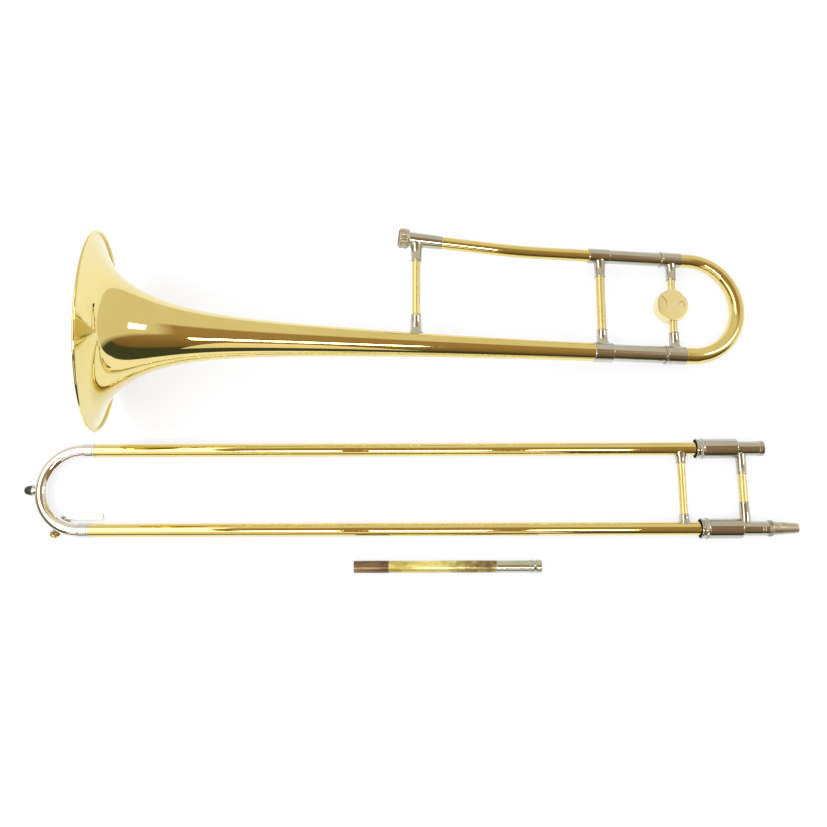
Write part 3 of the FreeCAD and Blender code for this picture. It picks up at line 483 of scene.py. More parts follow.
def swept(centres, headings, radii, normal, wall):
    """Open-ended round tube along a flat path, with an even wall."""
    outside, inside = [], []
    for centre, heading, radius in zip(centres, headings, radii):
        side = normal.cross(heading).normalized()
        for rings, reach in ((outside, radius), (inside, radius - wall)):
            rings.append([centre + (side * math.cos(angle) + normal * math.sin(angle)) * reach
                          for angle in circle(ROUND)])
    return skin(outside + inside[::-1])


def bend(place, centre, radius, start, end, sections):
    """Centres and headings along an arc in a place's along-side plane; angles from -side, towards +along."""
    centres, headings = [], []
    for turn in evenly(start, end, sections):
        centres.append(place.at(centre[0] + radius * math.sin(turn), centre[1] - radius * math.cos(turn)))
        headings.append(place.along * math.cos(turn) + place.side * math.sin(turn))
    return centres, headings


def bar(start, end, radius, rounding=EDGE):
    """Outline of a solid round bar."""
    return rounded([(start, AXIS, 0), (start, radius, rounding), (end, radius, rounding), (end, AXIS, 0)])


def sleeve(start, end, outer, bore, front=EDGE, back=EDGE):
    """Outline of a plain ring with its two outer edges rounded."""
    return rounded([(start, bore, 0.1), (start, outer, front), (end, outer, back), (end, bore, 0.1)])


def saddle_socket(place, foot_radius, carrier, neck, end, radius, bore):
    """Brace socket along a place's axis: a lipped sleeve that sweeps out to a thin saddle on its carrier.

    The carrier is a cylinder through the place's origin that runs along its side direction.
    Each ring is (station, radius, how far it follows the carrier's curve, from 0 to 1).
    """
    flare_steps = 12
    flange = 0.45
    lip = 0.3
    cone = 0.35
    outer = [(0.0, foot_radius, 1.0), (flange * 0.6, foot_radius + 0.12, 1.0), (flange, foot_radius, 1.0)]
    sweep_start = carrier + flange
    for step in range(1, flare_steps + 1):
        way = step / flare_steps
        shrink = (1 - way) ** 2.4
        station = sweep_start + (neck - sweep_start) * way
        outer.append((station, radius + cone + (foot_radius - radius - cone) * shrink, shrink))
    for station, reach in ((end - 1.7, radius), (end - 1.5, radius + 0.08), (end - 1.2, radius + lip),
                           (end - 0.6, radius + lip), (end - 0.15, radius + lip / 2), (end, radius),
                           (end, bore + 0.1), (end - 0.2, bore), (neck, bore)):
        outer.append((station, reach, 0.0))
    outer.append((0.0, bore, 1.0))
    rings = []
    for station, reach, hug in outer:
        ring = []
        for angle in circle(ROUND):
            across = reach * math.cos(angle)
            seat = math.sqrt(max(carrier ** 2 - min(abs(across), carrier) ** 2, 0.0))
            height = seat + station if hug == 1.0 else station - hug * (carrier - seat)
            ring.append(place.at(height, reach * math.sin(angle), across))
        rings.append(ring)
    return skin(rings)


def cut(piece, *tools):
    """Take the tool meshes out of a piece, and shade it again."""
    for vertices, faces in tools:
        tool = add_piece(piece.name + "_tool", (), vertices, faces)
        modifier = piece.modifiers.new("cut", "BOOLEAN")
        modifier.operation = "DIFFERENCE"
        modifier.solver = "EXACT"
        modifier.object = tool
        evaluated = piece.evaluated_get(bpy.context.evaluated_depsgraph_get())
        mesh = bpy.data.meshes.new_from_object(evaluated)
        piece.modifiers.remove(modifier)
        piece.data = mesh
        bpy.data.objects.remove(tool)
    piece.data.polygons.foreach_set("use_smooth", [True] * len(piece.data.polygons))
    piece.data.set_sharp_from_angle(angle=math.radians(CREASE))


def box_shape(place, low, high):
    """Plain block between two corners in a place's directions, for use as a cutting tool."""
    vertices = [place.at(along, side, up) for along in (low[0], high[0]) for side in (low[1], high[1])
                for up in (low[2], high[2])]
    return vertices, [(0, 1, 3, 2), (4, 6, 7, 5), (0, 4, 5, 1), (2, 3, 7, 6), (0, 2, 6, 4), (1, 5, 7, 3)]


def fine(node, shape, sharp=CREASE, look=None):
    """A finished shape in place of one CAD node."""
    return add_piece("fine_" + node, (node,), *shape, sharp=sharp, look=look)


def turned(node, place, corners, steps=4, look=None, **options):
    """A CAD node turned again round a place's axis, from the corners of its outline."""
    return fine(node, revolved(rounded(corners, steps), place, **options), look=look)


def fine_sleeve(node, place, wall, front=EDGE, back=EDGE):
    """A CAD ring turned again with rounded edges."""
    start, end, outer = place.span(node)
    fine(node, revolved(sleeve(start, end, outer, outer - wall, front, back), place))


# ---------------------------------------------------------------- bell
def bell_radius(station):
    offset, slope = BELL_TAPER
    flare = sum(size * math.exp(-station / length) for size, length in BELL_DECAYS)
    return offset + slope * station + flare


def bell_normal(station):
    """Unit outward normal of the bell's sheet, as (station, radius)."""
    rise = BELL_TAPER[1] - sum(size / length * math.exp(-station / length) for size, length in BELL_DECAYS)
    return Vector((-rise, 1.0)).normalized()


def make_bell():
    """Spun sheet from inside the rim's bead to the small end, and the bead itself."""
    sections = 170
    start = 0.75
    outer, inner = [], []
    for index in range(sections + 1):
        station = start + (BELL_END - start) * (index / sections) ** 2.4
        spot = Vector((station, bell_radius(station)))
        outer.append(spot)
        inner.append(spot - bell_normal(station) * BELL_WALL)
    fine("bell_flare", revolved(outer + inner[::-1], BELL, segments=224), sharp=60.0)
    low, high, rim = BELL.span("bell_rim_wire")
    wire = (high - low) / 2
    bead = [((low + high) / 2 + wire * math.cos(turn), rim - wire + wire * math.sin(turn))
            for turn in circle(28)]
    fine("bell_rim_wire", revolved(bead, BELL, segments=224), sharp=60.0)


def make_bell_tubes():
    """Ferrules and outer tuning sleeves behind the bell and the neckpipe."""
    fine_sleeve("bell_tail_ferrule", BELL, 2.0, front=0.9, back=0.6)
    fine_sleeve("neck_ferrule", NECK_LEG, 1.4, front=0.8, back=0.5)
    fine_sleeve("tuning_sleeve_bell_side", BELL, 0.5, back=0.2)
    fine_sleeve("tuning_sleeve_neck_side", NECK_LEG, 0.5, back=0.2)


# ---------------------------------------------------------------- neck
def neck_corner():
    """Where the neck's sloping axis meets the neck leg's axis, in the bell's own directions."""
    spot = BELL.local(NECK.origin)
    heading = Vector((NECK.along.dot(BELL.along), NECK.along.dot(BELL.side)))
    reach = (BELL.local(NECK_LEG.origin).y - spot.y) / heading.y
    return spot.x + heading.x * reach, spot.y + heading.y * reach, heading


def make_neckpipe():
    """Tube with one shallow bend, from inside the receiver to inside the neck ferrule."""
    corner_station, corner_offset, heading = neck_corner()
    slope = math.atan2(heading.y, -heading.x)
    radius = NECK_TANGENT / math.tan(slope / 2)
    bend_end = corner_station + NECK_TANGENT
    inside_receiver = 12.0
    start = NECK.span("neck_receiver")[0] + inside_receiver
    bend_start = NECK.local(BELL.at(corner_station, corner_offset)).x + NECK_TANGENT
    end = NECK_LEG.span("neckpipe")[1]
    low, high = NECK_LEG.extent("neckpipe")
    outer = (high.z - low.z) / 2
    path, headings = [], []
    for station in evenly(start, bend_start, 8)[:-1]:
        path.append(NECK.at(station))
        headings.append(-NECK.along)
    for turn in evenly(slope, 0.0, 24):
        path.append(BELL.at(bend_end - radius * math.sin(turn),
                            corner_offset + radius * (1 - math.cos(turn))))
        headings.append(BELL.along * math.cos(turn) - BELL.side * math.sin(turn))
    for station in evenly(bend_end, end, 8)[1:]:
        path.append(BELL.at(station, corner_offset))
        headings.append(BELL.along)
    fine("neckpipe", swept(path, headings, [outer] * len(path), BELL.up, NECK_WALL))


def make_neck_receiver():
    """Slightly tapered socket with a flange, and the fluted lock nut behind it."""
    start, face, flange = NECK.span("neck_receiver")
    mouth, back, thickness = 7.75, 7.1, 2.3
    pipe_bore, mouth_bore, seat_bore, seat_depth = 5.6, 7.05, 5.3, 25.0
    turned("neck_receiver", NECK, [
        (start, pipe_bore, 0), (start, back, 0.5), (start + 14.0, back + 0.35, 1.5),
        (face - thickness, mouth, 0), (face - thickness, flange, 0.3), (face, flange, 0.3),
        (face, mouth_bore, 0.2), (face - seat_depth, seat_bore, 0)])
    start, end, outer = NECK.span("lock_nut")
    flutes = 12
    depth = 0.55

    def fluted(station, radius, angle):
        if radius < outer - 2.4:
            return radius
        window = (min(max((station - start - 2.0) / 1.6, 0.0), 1.0)
                  * min(max((end - 1.4 - station) / 1.6, 0.0), 1.0))
        groove = max(math.cos(flutes * angle), 0.0) ** 3
        return radius - depth * groove * window

    back_bore, front_bore, flange_room = mouth + 0.15, 8.9, 9.2
    body = [(start, back_bore, 0.2), (start, outer - 1.9, 0.6), (start + 2.2, outer, 0.8)]
    for share in (0.3, 0.36, 0.42, 0.5, 0.6, 0.7, 0.76, 0.82):
        body.append((start + (end - start) * share, outer, 0))
    body += [(end - 1.2, outer, 0.5), (end, outer - 1.1, 0.4), (end, front_bore, 0.2),
             (face + 0.3, front_bore, 0), (face + 0.3, flange_room, 0), (face - 2.6, flange_room, 0),
             (face - 2.6, back_bore, 0)]
    turned("lock_nut", NECK, body, segments=192, relief=fluted)


# ---------------------------------------------------------------- braces
def facing(place, station, other, other_station):
    """Places at a station of each of two axes, each facing the other, their sides along the carriers."""
    here = place.at(station)
    there = other.at(other_station)
    across = (there - here).normalized()
    return Place(here, across, place.along), Place(there, -across, other.along)


def make_brace(prefix, place, other, tube_radius, sockets, other_station=None):
    """A stay from one tube to another: two flared sockets and the tube between them.

    Each socket is (side, foot radius, carrier radius, neck, sleeve radius).
    """
    station = place.middle(prefix + "_tube").x
    places = facing(place, station, other, other_station or station)
    ends = []
    for seat, (side, foot, carrier, neck, radius) in zip(places, sockets):
        node = prefix + "_" + side + "_socket"
        ends.append(seat.extent(node)[1].x)
        fine(node, saddle_socket(seat, foot, carrier, neck, ends[-1], radius, tube_radius + 0.05))
    inserted = 6.0
    wall = 0.5
    start = ends[0] - inserted
    stop = (places[1].origin - places[0].origin).length - ends[1] + inserted
    turned(prefix + "_tube", places[0], [
        (start, tube_radius - wall, 0.1), (start, tube_radius, 0.2), ((start + stop) / 2, tube_radius, 0),
        (stop, tube_radius, 0.2), (stop, tube_radius - wall, 0.1)], look="satin_brass")


def make_bell_braces():
    station = BELL.middle("front_brace_tube").x
    tilt = NECK.along.dot(BELL.side) / -NECK.along.dot(BELL.along)
    corner_station, corner_offset, _ = neck_corner()
    axis_offset = corner_offset + tilt * (corner_station - station)
    make_brace("front_brace", BELL, NECK, 4.5, (
        ("bell", 7.6, bell_radius(station), 19.0, 5.6), ("neck", 6.6, 7.6, 12.0, 5.7)),
        other_station=NECK.local(BELL.at(station, axis_offset)).x)
    make_brace("rear_brace", BELL, NECK_LEG, 4.96, (
        ("bell", 7.2, BELL.span("bell_tail_ferrule")[2], 15.0, 5.6),
        ("neck", 6.4, NECK_LEG.span("neck_ferrule")[2], 12.5, 5.6)))


# ---------------------------------------------------------------- tuning slide
def make_tuning_slide():
    """Crook that narrows towards the neck, its ferrules with seam rings, and its inner legs."""
    ferrules = ((BELL, "bell_side", TUNING_RADII[0]), (NECK_LEG, "neck_side", TUNING_RADII[1]))
    low, high = BELL.extent("tuning_crook")
    bend_radius = BELL.local(NECK_LEG.origin).y / 2
    tangent = high.x - bend_radius - sum(TUNING_RADII) / 2
    overlap = 8.3                   # of the ferrule on the crook
    for place, side, crook in ferrules:
        start, end, ring = place.span("tuning_ferrule_" + side)
        body = ring - SEAM_RING
        leg_start, leg_end, leg = place.span("tuning_leg_" + side)
        turned("tuning_ferrule_" + side, place, [
            (start, leg + 0.05, 0), (start, ring, 0.5), (start + 1.9, ring, 0.5), (start + 2.4, body, 0.25),
            (end, body, 0.5), (end, crook + 0.03, 0), (end - overlap, crook + 0.03, 0),
            (end - overlap, leg + 0.05, 0)])
        fine("tuning_leg_" + side, revolved(sleeve(leg_start, leg_end, leg, leg - 0.45, 0.2, 0.2), place))
    sections = 96
    arc, arc_headings = bend(BELL, (tangent, bend_radius), bend_radius, 0.0, math.pi, sections)
    straight = evenly(low.x, tangent, 4)[:-1]
    path = [BELL.at(station) for station in straight] + arc
    path += [BELL.at(station, 2 * bend_radius) for station in reversed(straight)]
    headings = [BELL.along] * 4 + arc_headings + [-BELL.along] * 4
    first, last = TUNING_RADII
    radii = [first] * 4 + evenly(first, last, sections) + [last] * 4
    fine("tuning_crook", swept(path, headings, radii, BELL.up, TUNE_WALL))
    make_brace("tuning_brace", BELL, NECK_LEG, 4.2, (
        ("bell", 6.6, BELL.span("tuning_ferrule_bell_side")[2] - SEAM_RING, 13.5, 5.3),
        ("neck", 6.2, NECK_LEG.span("tuning_ferrule_neck_side")[2] - SEAM_RING, 11.5, 5.3)))


def upright(place, node):
    """Place that runs along the bell section's up direction through the middle of a node."""
    low, high = place.extent(node)
    middle = (low + high) / 2
    return Place(place.at(middle.x, middle.y, low.z), place.up, place.along), high - low


def make_counterweight():
    """Satin drum with a rounded edge, a lens-shaped inlay, a slotted screw and a notch."""
    drum, size = upright(BELL, "counterweight")
    radius = size.x / 2
    height = size.z
    edge = 1.2
    inlay_radius, bite_radius, bite_centre = 16.4, 10.8, Vector((-18.0, 1.0))
    piece = turned("counterweight", drum, [
        (0.0, AXIS, 0), (0.0, radius, edge), (height, radius, edge), (height, AXIS, 0)], 7, segments=192)

    def lens(low, high, gap):
        """Closed lens between the drum's disc and a smaller disc on its left."""
        span = bite_centre.length
        along = (inlay_radius ** 2 - bite_radius ** 2 + span ** 2) / (2 * span)
        half = math.acos(along / inlay_radius)
        half_small = math.acos((span - along) / bite_radius)
        toward = math.atan2(bite_centre.y, bite_centre.x)
        rim = []
        for angle in evenly(toward - half, toward + half, 40):
            rim.append(Vector((math.cos(angle), math.sin(angle))) * (inlay_radius - gap))
        away = toward + math.pi
        for angle in evenly(away - half_small, away + half_small, 40)[1:-1]:
            rim.append(bite_centre + Vector((math.cos(angle), math.sin(angle))) * (bite_radius - gap))
        middle = sum(rim, Vector((0.0, 0.0))) / len(rim)
        rings = []
        for station, shrink in ((low, 0.0), (high - 0.25, 0.0), (high - 0.07, 0.07), (high, 0.25),
                                (high, 0.4)):
            rings.append([drum.at(station, *(spot + (middle - spot).normalized() * shrink)) for spot in rim])
        return capped(rings)

    low, high = drum.extent("counterweight_screw")
    screw = drum.shifted(low.x, (low.y + high.y) / 2, (low.z + high.z) / 2)
    screw_radius = (high.y - low.y) / 2
    screw_height = high.x - low.x
    hole = revolved(bar(0.0, screw_height + 4.0, screw_radius + 0.3), screw)
    notch = drum.shifted(0.0, 11.2, 10.2)
    turn = math.radians(42.0)
    depth, half_width = 9.0, 3.1
    wedge = []
    for station in (-1.0, height + 1.0):
        wedge.append([notch.at(station, x * math.cos(turn) - y * math.sin(turn),
                               x * math.sin(turn) + y * math.cos(turn))
                      for x, y in ((0.0, 0.0), (depth, -half_width), (depth, half_width))])
    cut(piece, lens(height - edge, height + 1.0, 0.0), hole, capped(wedge))
    fine("counterweight_inlay", lens(height - edge + 0.02, height - 0.2, 0.28))
    add_screw("counterweight_screw", screw, screw_height, screw_radius, 35.0)


def add_screw(node, place, height, radius, turn):
    """Cheese-head screw with a rounded rim and a slot turned by so many degrees."""
    slot_width, slot_depth = 0.8, 0.9
    piece = turned(node, place, [
        (0.0, AXIS, 0), (0.0, radius, 0.1), (height, radius, 0.3), (height, AXIS, 0)])
    angle = math.radians(turn)
    side = place.side * math.cos(angle) + place.up * math.sin(angle)
    slot = Place(place.at(height), place.along, side)
    low = (-slot_depth, -radius - 1.0, -slot_width / 2)
    cut(piece, box_shape(slot, low, (1.0, radius + 1.0, slot_width / 2)))


# ---------------------------------------------------------------- hand slide
def leg_bend(place, tube_radius, wall):
    """The slide crook: half a turn between the legs, with a short straight end on each."""
    low, high = place.extent("slide_crook")
    radius = SLIDE_WIDTH / 2
    tangent = low.x + radius + tube_radius
    arc, headings = bend(place, (tangent, radius), radius, 0.0, -math.pi, 120)
    straight = evenly(high.x, tangent, 3)[:-1]
    path = [place.at(station) for station in straight] + arc
    path += [place.at(station, 2 * radius) for station in reversed(straight)]
    directions = [-place.along] * 3 + [-heading for heading in headings] + [place.along] * 3
    return swept(path, directions, [tube_radius] * len(path), place.up, wall)


def make_outer_slide():
    """Two lacquered tubes joined by the plated crook, with ferrules, lock pin and brace."""
    for place, side in SLIDE_LEGS:
        start, end, outer = place.span("outer_tube_" + side)
        turned("outer_tube_" + side, place, [
            (start, outer - 0.4, 0.1), (start, outer, 0.1), ((start + end) / 2, outer, 0),
            (end, outer, 0.15), (end, outer - 0.4, 0.1)])
        start, end, ring = place.span("crook_ferrule_" + side)
        land = ring - 0.05
        groove = ring - 0.25
        turned("crook_ferrule_" + side, place, [
            (start, outer + 0.03, 0), (start, ring - 0.15, 0.3), (start + 1.5, ring, 0.3),
            (start + 1.9, groove, 0.1), (start + 2.3, land, 0.15), (end - 2.3, land, 0.15),
            (end - 1.9, groove, 0.1), (end - 1.5, ring, 0.3), (end, ring - 0.1, 0.3),
            (end, outer + 0.03, 0)], look="chromed_tube")
    low, high = LEG.extent("slide_crook")
    fine("slide_crook", leg_bend(LEG, (high.z - low.z) / 2, SLIDE_CROOK_WALL))
    outer = LEG.span("outer_tube_bell_side")[2]
    make_brace("outer_brace", LEG, FAR_LEG, 4.2, [
        (side, 6.4, outer, 12.0, 4.9) for side in ("bell", "mouthpiece")])
    low, high = LEG.extent("slide_lock_pin")
    sunk, radius = 0.3, 1.2
    tip = high.z - outer + sunk
    pin = Place(LEG.at((low.x + high.x) / 2, 0.0, outer - sunk), LEG.up, LEG.along)
    turned("slide_lock_pin", pin, [(0.0, AXIS, 0), (0.0, radius, 0), (tip, radius, 0.4), (tip, AXIS, 0)],
           segments=48)


def make_bumper():
    """Bullet-shaped rubber bumper in its turned socket, soldered on the crook's apex."""
    place = LEG.shifted(side=SLIDE_WIDTH / 2)
    _, base, radius = place.span("rubber_bumper")
    nose_length, shoulder = 5.2, 0.86 * radius
    outline = []
    for turn in evenly(0.0, math.radians(82.0), 16):
        outline.append(Vector((nose_length * (1 - math.cos(turn)), shoulder * math.sin(turn) + AXIS)))
    outline += [Vector((base - 0.4, radius)), Vector((base, radius - 0.15)), Vector((base, AXIS))]
    fine("rubber_bumper", revolved(outline, place))
    start, _, outer = place.span("bumper_socket")
    crook_radius = LEG.extent("slide_crook")[1].z
    centre = SLIDE_WIDTH / 2 + LEG.extent("slide_crook")[0].x + crook_radius
    mouth, lip, waist = 5.4, 5.8, 5.65
    waist_at = start + 1.0
    rings = []

    def ring(reach, station):
        """Ring of a radius, at a station that may depend on the side and height of each of its points."""
        spots = [(reach * math.cos(angle), reach * math.sin(angle)) for angle in circle(ROUND)]
        rings.append([place.at(station(*spot), *spot) for spot in spots])

    def seat(side, up):
        """Station of the crook's outer surface."""
        reach = SLIDE_WIDTH / 2 + math.sqrt(max(crook_radius ** 2 - up ** 2, 0.0))
        return centre - math.sqrt(max(reach ** 2 - side ** 2, 0.0))

    for past, reach in ((0.0, AXIS), (0.0, mouth), (0.1, waist), (0.3, lip), (0.6, lip), (0.8, 5.7),
                        (1.0, waist)):
        ring(reach, lambda side, up: start + past)
    for way in (0.35, 0.65, 0.85, 0.97):
        ring(waist + (outer - waist) * way ** 3,
             lambda side, up: waist_at + (seat(side, up) - waist_at) * way)
    for reach in (outer, 3.0, AXIS):
        ring(reach, lambda side, up: seat(side, up) + 0.3)
    fine("bumper_socket", skin(rings))


def make_inner_slide():
    """Plated inner tubes, cork barrels with knurled collars, and the brace between the barrels."""
    for place, side in SLIDE_LEGS:
        start, end, stocking = place.span("inner_tube_" + side)
        plain = stocking - 0.08
        turned("inner_tube_" + side, place, [
            (start, plain - 0.2, 0.05), (start, stocking, 0.1), (start + 120.0, stocking, 0.5),
            (start + 122.0, plain, 0.5), (end, plain, 0.1), (end, plain - 0.2, 0.05)])
        start, end, outer = place.span("barrel_" + side)
        neck = outer - 1.3
        wall = 0.7
        shoulder = LEG.span("slide_lock_ring")[1] + 0.1
        turned("barrel_" + side, place, [
            (start, neck - wall, 0.1), (start, neck, 0.1), (shoulder, neck, 0), (shoulder, outer, 0.2),
            ((start + end) / 2, outer, 0), (end, outer, 2.2), (end, plain + 0.02, 0),
            (end - 3.0, plain + 0.02, 0), (end - 3.0, outer - wall, 0), (shoulder + 1.2, outer - wall, 0),
            (shoulder + 1.2, neck - wall, 0)], 7)
    make_collar(LEG, "slide_lock_ring")
    make_collar(FAR_LEG, "barrel_collar")
    start, end, _ = LEG.span("barrel_corks")
    ring = sleeve(start, end, 9.8, SLIDE_FIT, 0.8, 0.1)
    fine("barrel_corks", join(revolved(ring, LEG), revolved(ring, FAR_LEG)))
    carrier = 7.85
    make_brace("inner_brace", LEG, FAR_LEG, 4.7, [
        (side, 5.9, carrier, 12.6, 5.2) for side in ("bell", "mouthpiece")])


def make_collar(place, node):
    """Open mouth with a thin lip, fine straight knurling and a plain land, over the barrel's neck."""
    start, end, outer = place.span(node)
    mouth, lip, bore = 10.0, 7.9, 9.34
    lip_start, lip_end = start + 1.7, start + 2.9
    band_start, band_end = end - 3.3, end - 1.5
    teeth = 64
    depth = 0.22
    waist, land = outer - 0.95, outer - 0.25

    def knurled(station, radius, angle):
        if radius < outer - 0.2 or not band_start < station < band_end:
            return radius
        return radius - depth * abs(2 * (angle * teeth / (2 * math.pi) % 1.0) - 1)

    piece = turned(node, place, [
        (start, mouth, 0.1), (start, outer - 0.3, 0.3), (start + 1.0, outer - 0.05, 0.3),
        (start + 1.6, outer - 0.1, 0.2), (start + 2.2, waist, 0.5), (band_start - 0.9, waist, 0.5),
        (band_start - 0.2, land, 0.15), (band_start, land, 0), (band_start + 0.15, outer, 0),
        (band_end - 0.15, outer, 0), (band_end, land, 0), (band_end + 0.2, land, 0.15),
        (end, outer - 0.5, 0.4), (end, bore, 0), (lip_end, bore, 0), (lip_end, lip, 0.1),
        (lip_start, lip, 0.1), (lip_start, mouth, 0)], segments=256, relief=knurled)
    # the faces inside each mouth take the near-black painted shade, with some tarnish
    piece.data.materials.append(MATERIALS["shade_and_tarnish"])
    for polygon in piece.data.polygons:
        spot = place.local(polygon.center / MM)
        if spot.x < lip_end and math.hypot(spot.y, spot.z) < mouth + 0.05:
            polygon.material_index = 1


def make_slide_ends():
    """Mouthpiece receiver on one leg; sleeve, threaded ring and tapered tenon on the other."""
    start, end, ring = FAR_LEG.span("mouthpiece_receiver")
    tube = ring - 0.55
    bead, groove = ring - 0.1, tube - 0.1
    ring_start = end - 3.2
    pipe_bore, mouth_bore, mouth_depth, fit_depth = 6.45, 7.1, 6.4, 8.0
    turned("mouthpiece_receiver", FAR_LEG, [
        (start, SLIDE_FIT, 0), (start, tube, 1.3), (ring_start - 2.2, tube, 0.1),
        (ring_start - 1.9, bead, 0.1), (ring_start - 0.6, bead, 0.1), (ring_start - 0.45, groove, 0.05),
        (ring_start - 0.1, groove, 0.05), (ring_start, ring, 0.1), (end, ring, 0.5),
        (end, mouth_bore, 0.2), (end - mouth_depth, mouth_bore, 0), (end - mouth_depth, pipe_bore, 0),
        (start + fit_depth, pipe_bore, 0), (start + fit_depth, SLIDE_FIT, 0)])
    start, end, outer = LEG.span("tenon_sleeve")
    tenon_bore, fit_depth = 5.9, 8.6
    corners = [(start, SLIDE_FIT, 0), (start, outer, 1.3)]
    for groove in (end - 7.0, end - 4.4):
        corners += [(groove - 0.35, outer, 0.1), (groove, outer - 0.28, 0.1), (groove + 0.35, outer, 0.1)]
    corners += [(end, outer, 0.3), (end, tenon_bore, 0), (start + fit_depth, tenon_bore, 0),
                (start + fit_depth, SLIDE_FIT, 0)]
    turned("tenon_sleeve", LEG, corners)
    start, shoulder, outer = LEG.span("thread_ring")
    make_thread("thread_ring", LEG, start, shoulder, outer, 5.95, 0.85)
    start, end, base = LEG.span("slide_tenon")
    bore, tip, inside, seat = 4.5, 5.3, 5.72, 5.9
    seat_start = shoulder - 4.4
    turned("slide_tenon", LEG, [
        (start, bore, 0), (start, inside, 0), (seat_start, inside, 0), (seat_start, seat, 0),
        (shoulder, seat, 0), (shoulder + 0.02, base, 0.3), ((shoulder + end) / 2, (base + tip) / 2, 0),
        (end, tip, 0.4), (end, bore, 0.2)])


def thread(station, angle, pitch):
    """Depth of a screw thread at a spot, from 0 on its crest to 1 at its root."""
    return 1 - abs(2 * ((station / pitch - angle / (2 * math.pi)) % 1.0) - 1)


def make_thread(node, place, start, end, outer, bore, pitch):
    """Ring with a real screw thread cut round it."""
    depth = pitch * 0.5
    rows = int((end - start) / pitch * 12)
    margin = 0.3
    crest = [Vector((station, outer)) for station in evenly(start + margin, end - margin, rows)]

    def threaded(station, radius, angle):
        if radius < outer - 0.01:
            return radius
        fade = min((station - start) / pitch, (end - station) / pitch, 1.0)
        return radius - depth * thread(station, angle, pitch) - 0.3 * (1 - fade)

    outline = [Vector((start, bore)), Vector((start, outer - 0.5))] + crest
    outline += [Vector((end, outer - 0.5)), Vector((end, bore))]
    fine(node, revolved(outline, place, segments=128, relief=threaded), sharp=50.0)


# ---------------------------------------------------------------- leadpipe
def make_leadpipe():
    """Drawn tube with a tapered bore, and its nickel sleeve with a grooved, threaded end."""
    start, end, outer = LEAD.span("leadpipe_tube")
    dip = start + DIPPED
    join_at = LEAD.span("leadpipe_collar")[0]
    score = outer - 0.07
    throat, throat_radius, mouth_radius = end - 25.0, 5.0, 5.6
    turned("leadpipe_tube", LEAD, [
        (start, outer - 0.35, 0.1), (start, outer, 0.15), (dip, outer, 0), (dip + 0.2, score, 0),
        (dip + 0.9, score, 0), (dip + 1.1, outer, 0), (join_at, outer, 0.05),
        (join_at, outer - 0.42, 0), (end - 0.1, outer - 0.47, 0), (end - 0.1, mouth_radius, 0.1),
        (throat, throat_radius, 1.0)])
    start, end, ring = LEAD.span("leadpipe_collar")
    body = ring - 0.5
    ring_start = end - 12.5
    groove_start, groove_end = end - 8.9, end - 5.3
    bore = outer - 0.4
    pitch, depth = 0.8, 0.25

    def threaded(station, radius, angle):
        if not groove_start - 0.1 < station < groove_end + 0.1 or radius < bore + 0.3:
            return radius
        return radius - depth * thread(station, angle, pitch)

    corners = [
        (start, bore, 0), (start, body - 0.15, 0.1), (start + 0.8, body, 0.2),
        (ring_start, body, 0.1), (ring_start + 0.5, ring, 0.3), (groove_start, ring, 0.15)]
    corners += [(station, ring - 0.35, 0) for station in evenly(groove_start, groove_end, 32)]
    corners += [(groove_end, ring, 0.15), (end, ring, 0.45), (end, bore, 0.15)]
    turned("leadpipe_collar", LEAD, corners, look="dull_nickel", segments=128, relief=threaded)


# ---------------------------------------------------------------- water key
def key_place():
    """Where the water key crosses the crook: outwards along the bend's radius, sideways along the tube."""
    tangent = Vector(JOINTS["water_key_press"]["axis"])
    radial = Vector((tangent.y, -tangent.x, 0.0))
    low, high = LEG.extent("slide_crook")
    centre = LEG.at(low.x + SLIDE_WIDTH / 2 + high.z, SLIDE_WIDTH / 2)
    return Place(centre + radial * SLIDE_WIDTH / 2, radial, tangent)


def plate(place, rim, low, high, edge=0.3):
    """Flat plate with softened edges from a rim of (along, side) points, between two heights."""
    count = len(rim)
    spots = [Vector(spot) for spot in rim]
    area = sum(spots[step].x * spots[(step + 1) % count].y - spots[(step + 1) % count].x * spots[step].y
               for step in range(count))
    turn = 1 if area > 0 else -1
    inward = []
    for step in range(count):
        way = (spots[(step + 1) % count] - spots[step - 1]).normalized()
        inward.append(Vector((-way.y, way.x)) * turn)
    rings = []
    for height, shrink in ((low, edge + SUPPORT), (low, edge), (low + edge * 0.3, edge * 0.3),
                           (low + edge, 0.0), (high - edge, 0.0), (high - edge * 0.3, edge * 0.3),
                           (high, edge), (high, edge + SUPPORT)):
        rings.append([place.at(*(spot + way * shrink), height) for spot, way in zip(spots, inward)])
    return capped(rings)


def ribbon(stops, end_steps=10):
    """Rim of a flat strip with round ends, through (along, side, half width) stops."""
    middles = [Vector(stop[:2]) for stop in stops]
    last = len(stops) - 1
    ways = [(middles[min(index + 1, last)] - middles[max(index - 1, 0)]).normalized()
            for index in range(len(stops))]
    left, right = [], []
    for middle, way, stop in zip(middles, ways, stops):
        across = Vector((-way.y, way.x)) * stop[2]
        left.append(middle + across)
        right.append(middle - across)

    def round_end(end, way, width):
        across = Vector((-way.y, way.x)) * width
        return [end + across * math.cos(angle) + way * width * math.sin(angle)
                for angle in evenly(0.0, math.pi, end_steps)[1:-1]]

    return (left + round_end(middles[-1], ways[-1], stops[-1][2])
            + right[::-1] + round_end(middles[0], -ways[0], stops[0][2]))


def coil(place, radius, wire, start, end, turns):
    """Round wire wound round a place's axis."""
    steps = int(turns * 28)
    rings = []
    for step in range(steps + 1):
        way = step / steps
        angle = 2 * math.pi * turns * way
        out = place.side * math.cos(angle) + place.up * math.sin(angle)
        middle = place.at(start + (end - start) * way) + out * radius
        rings.append([middle + (out * math.cos(around) + place.along * math.sin(around)) * wire
                      for around in circle(10)])
    return capped(rings)


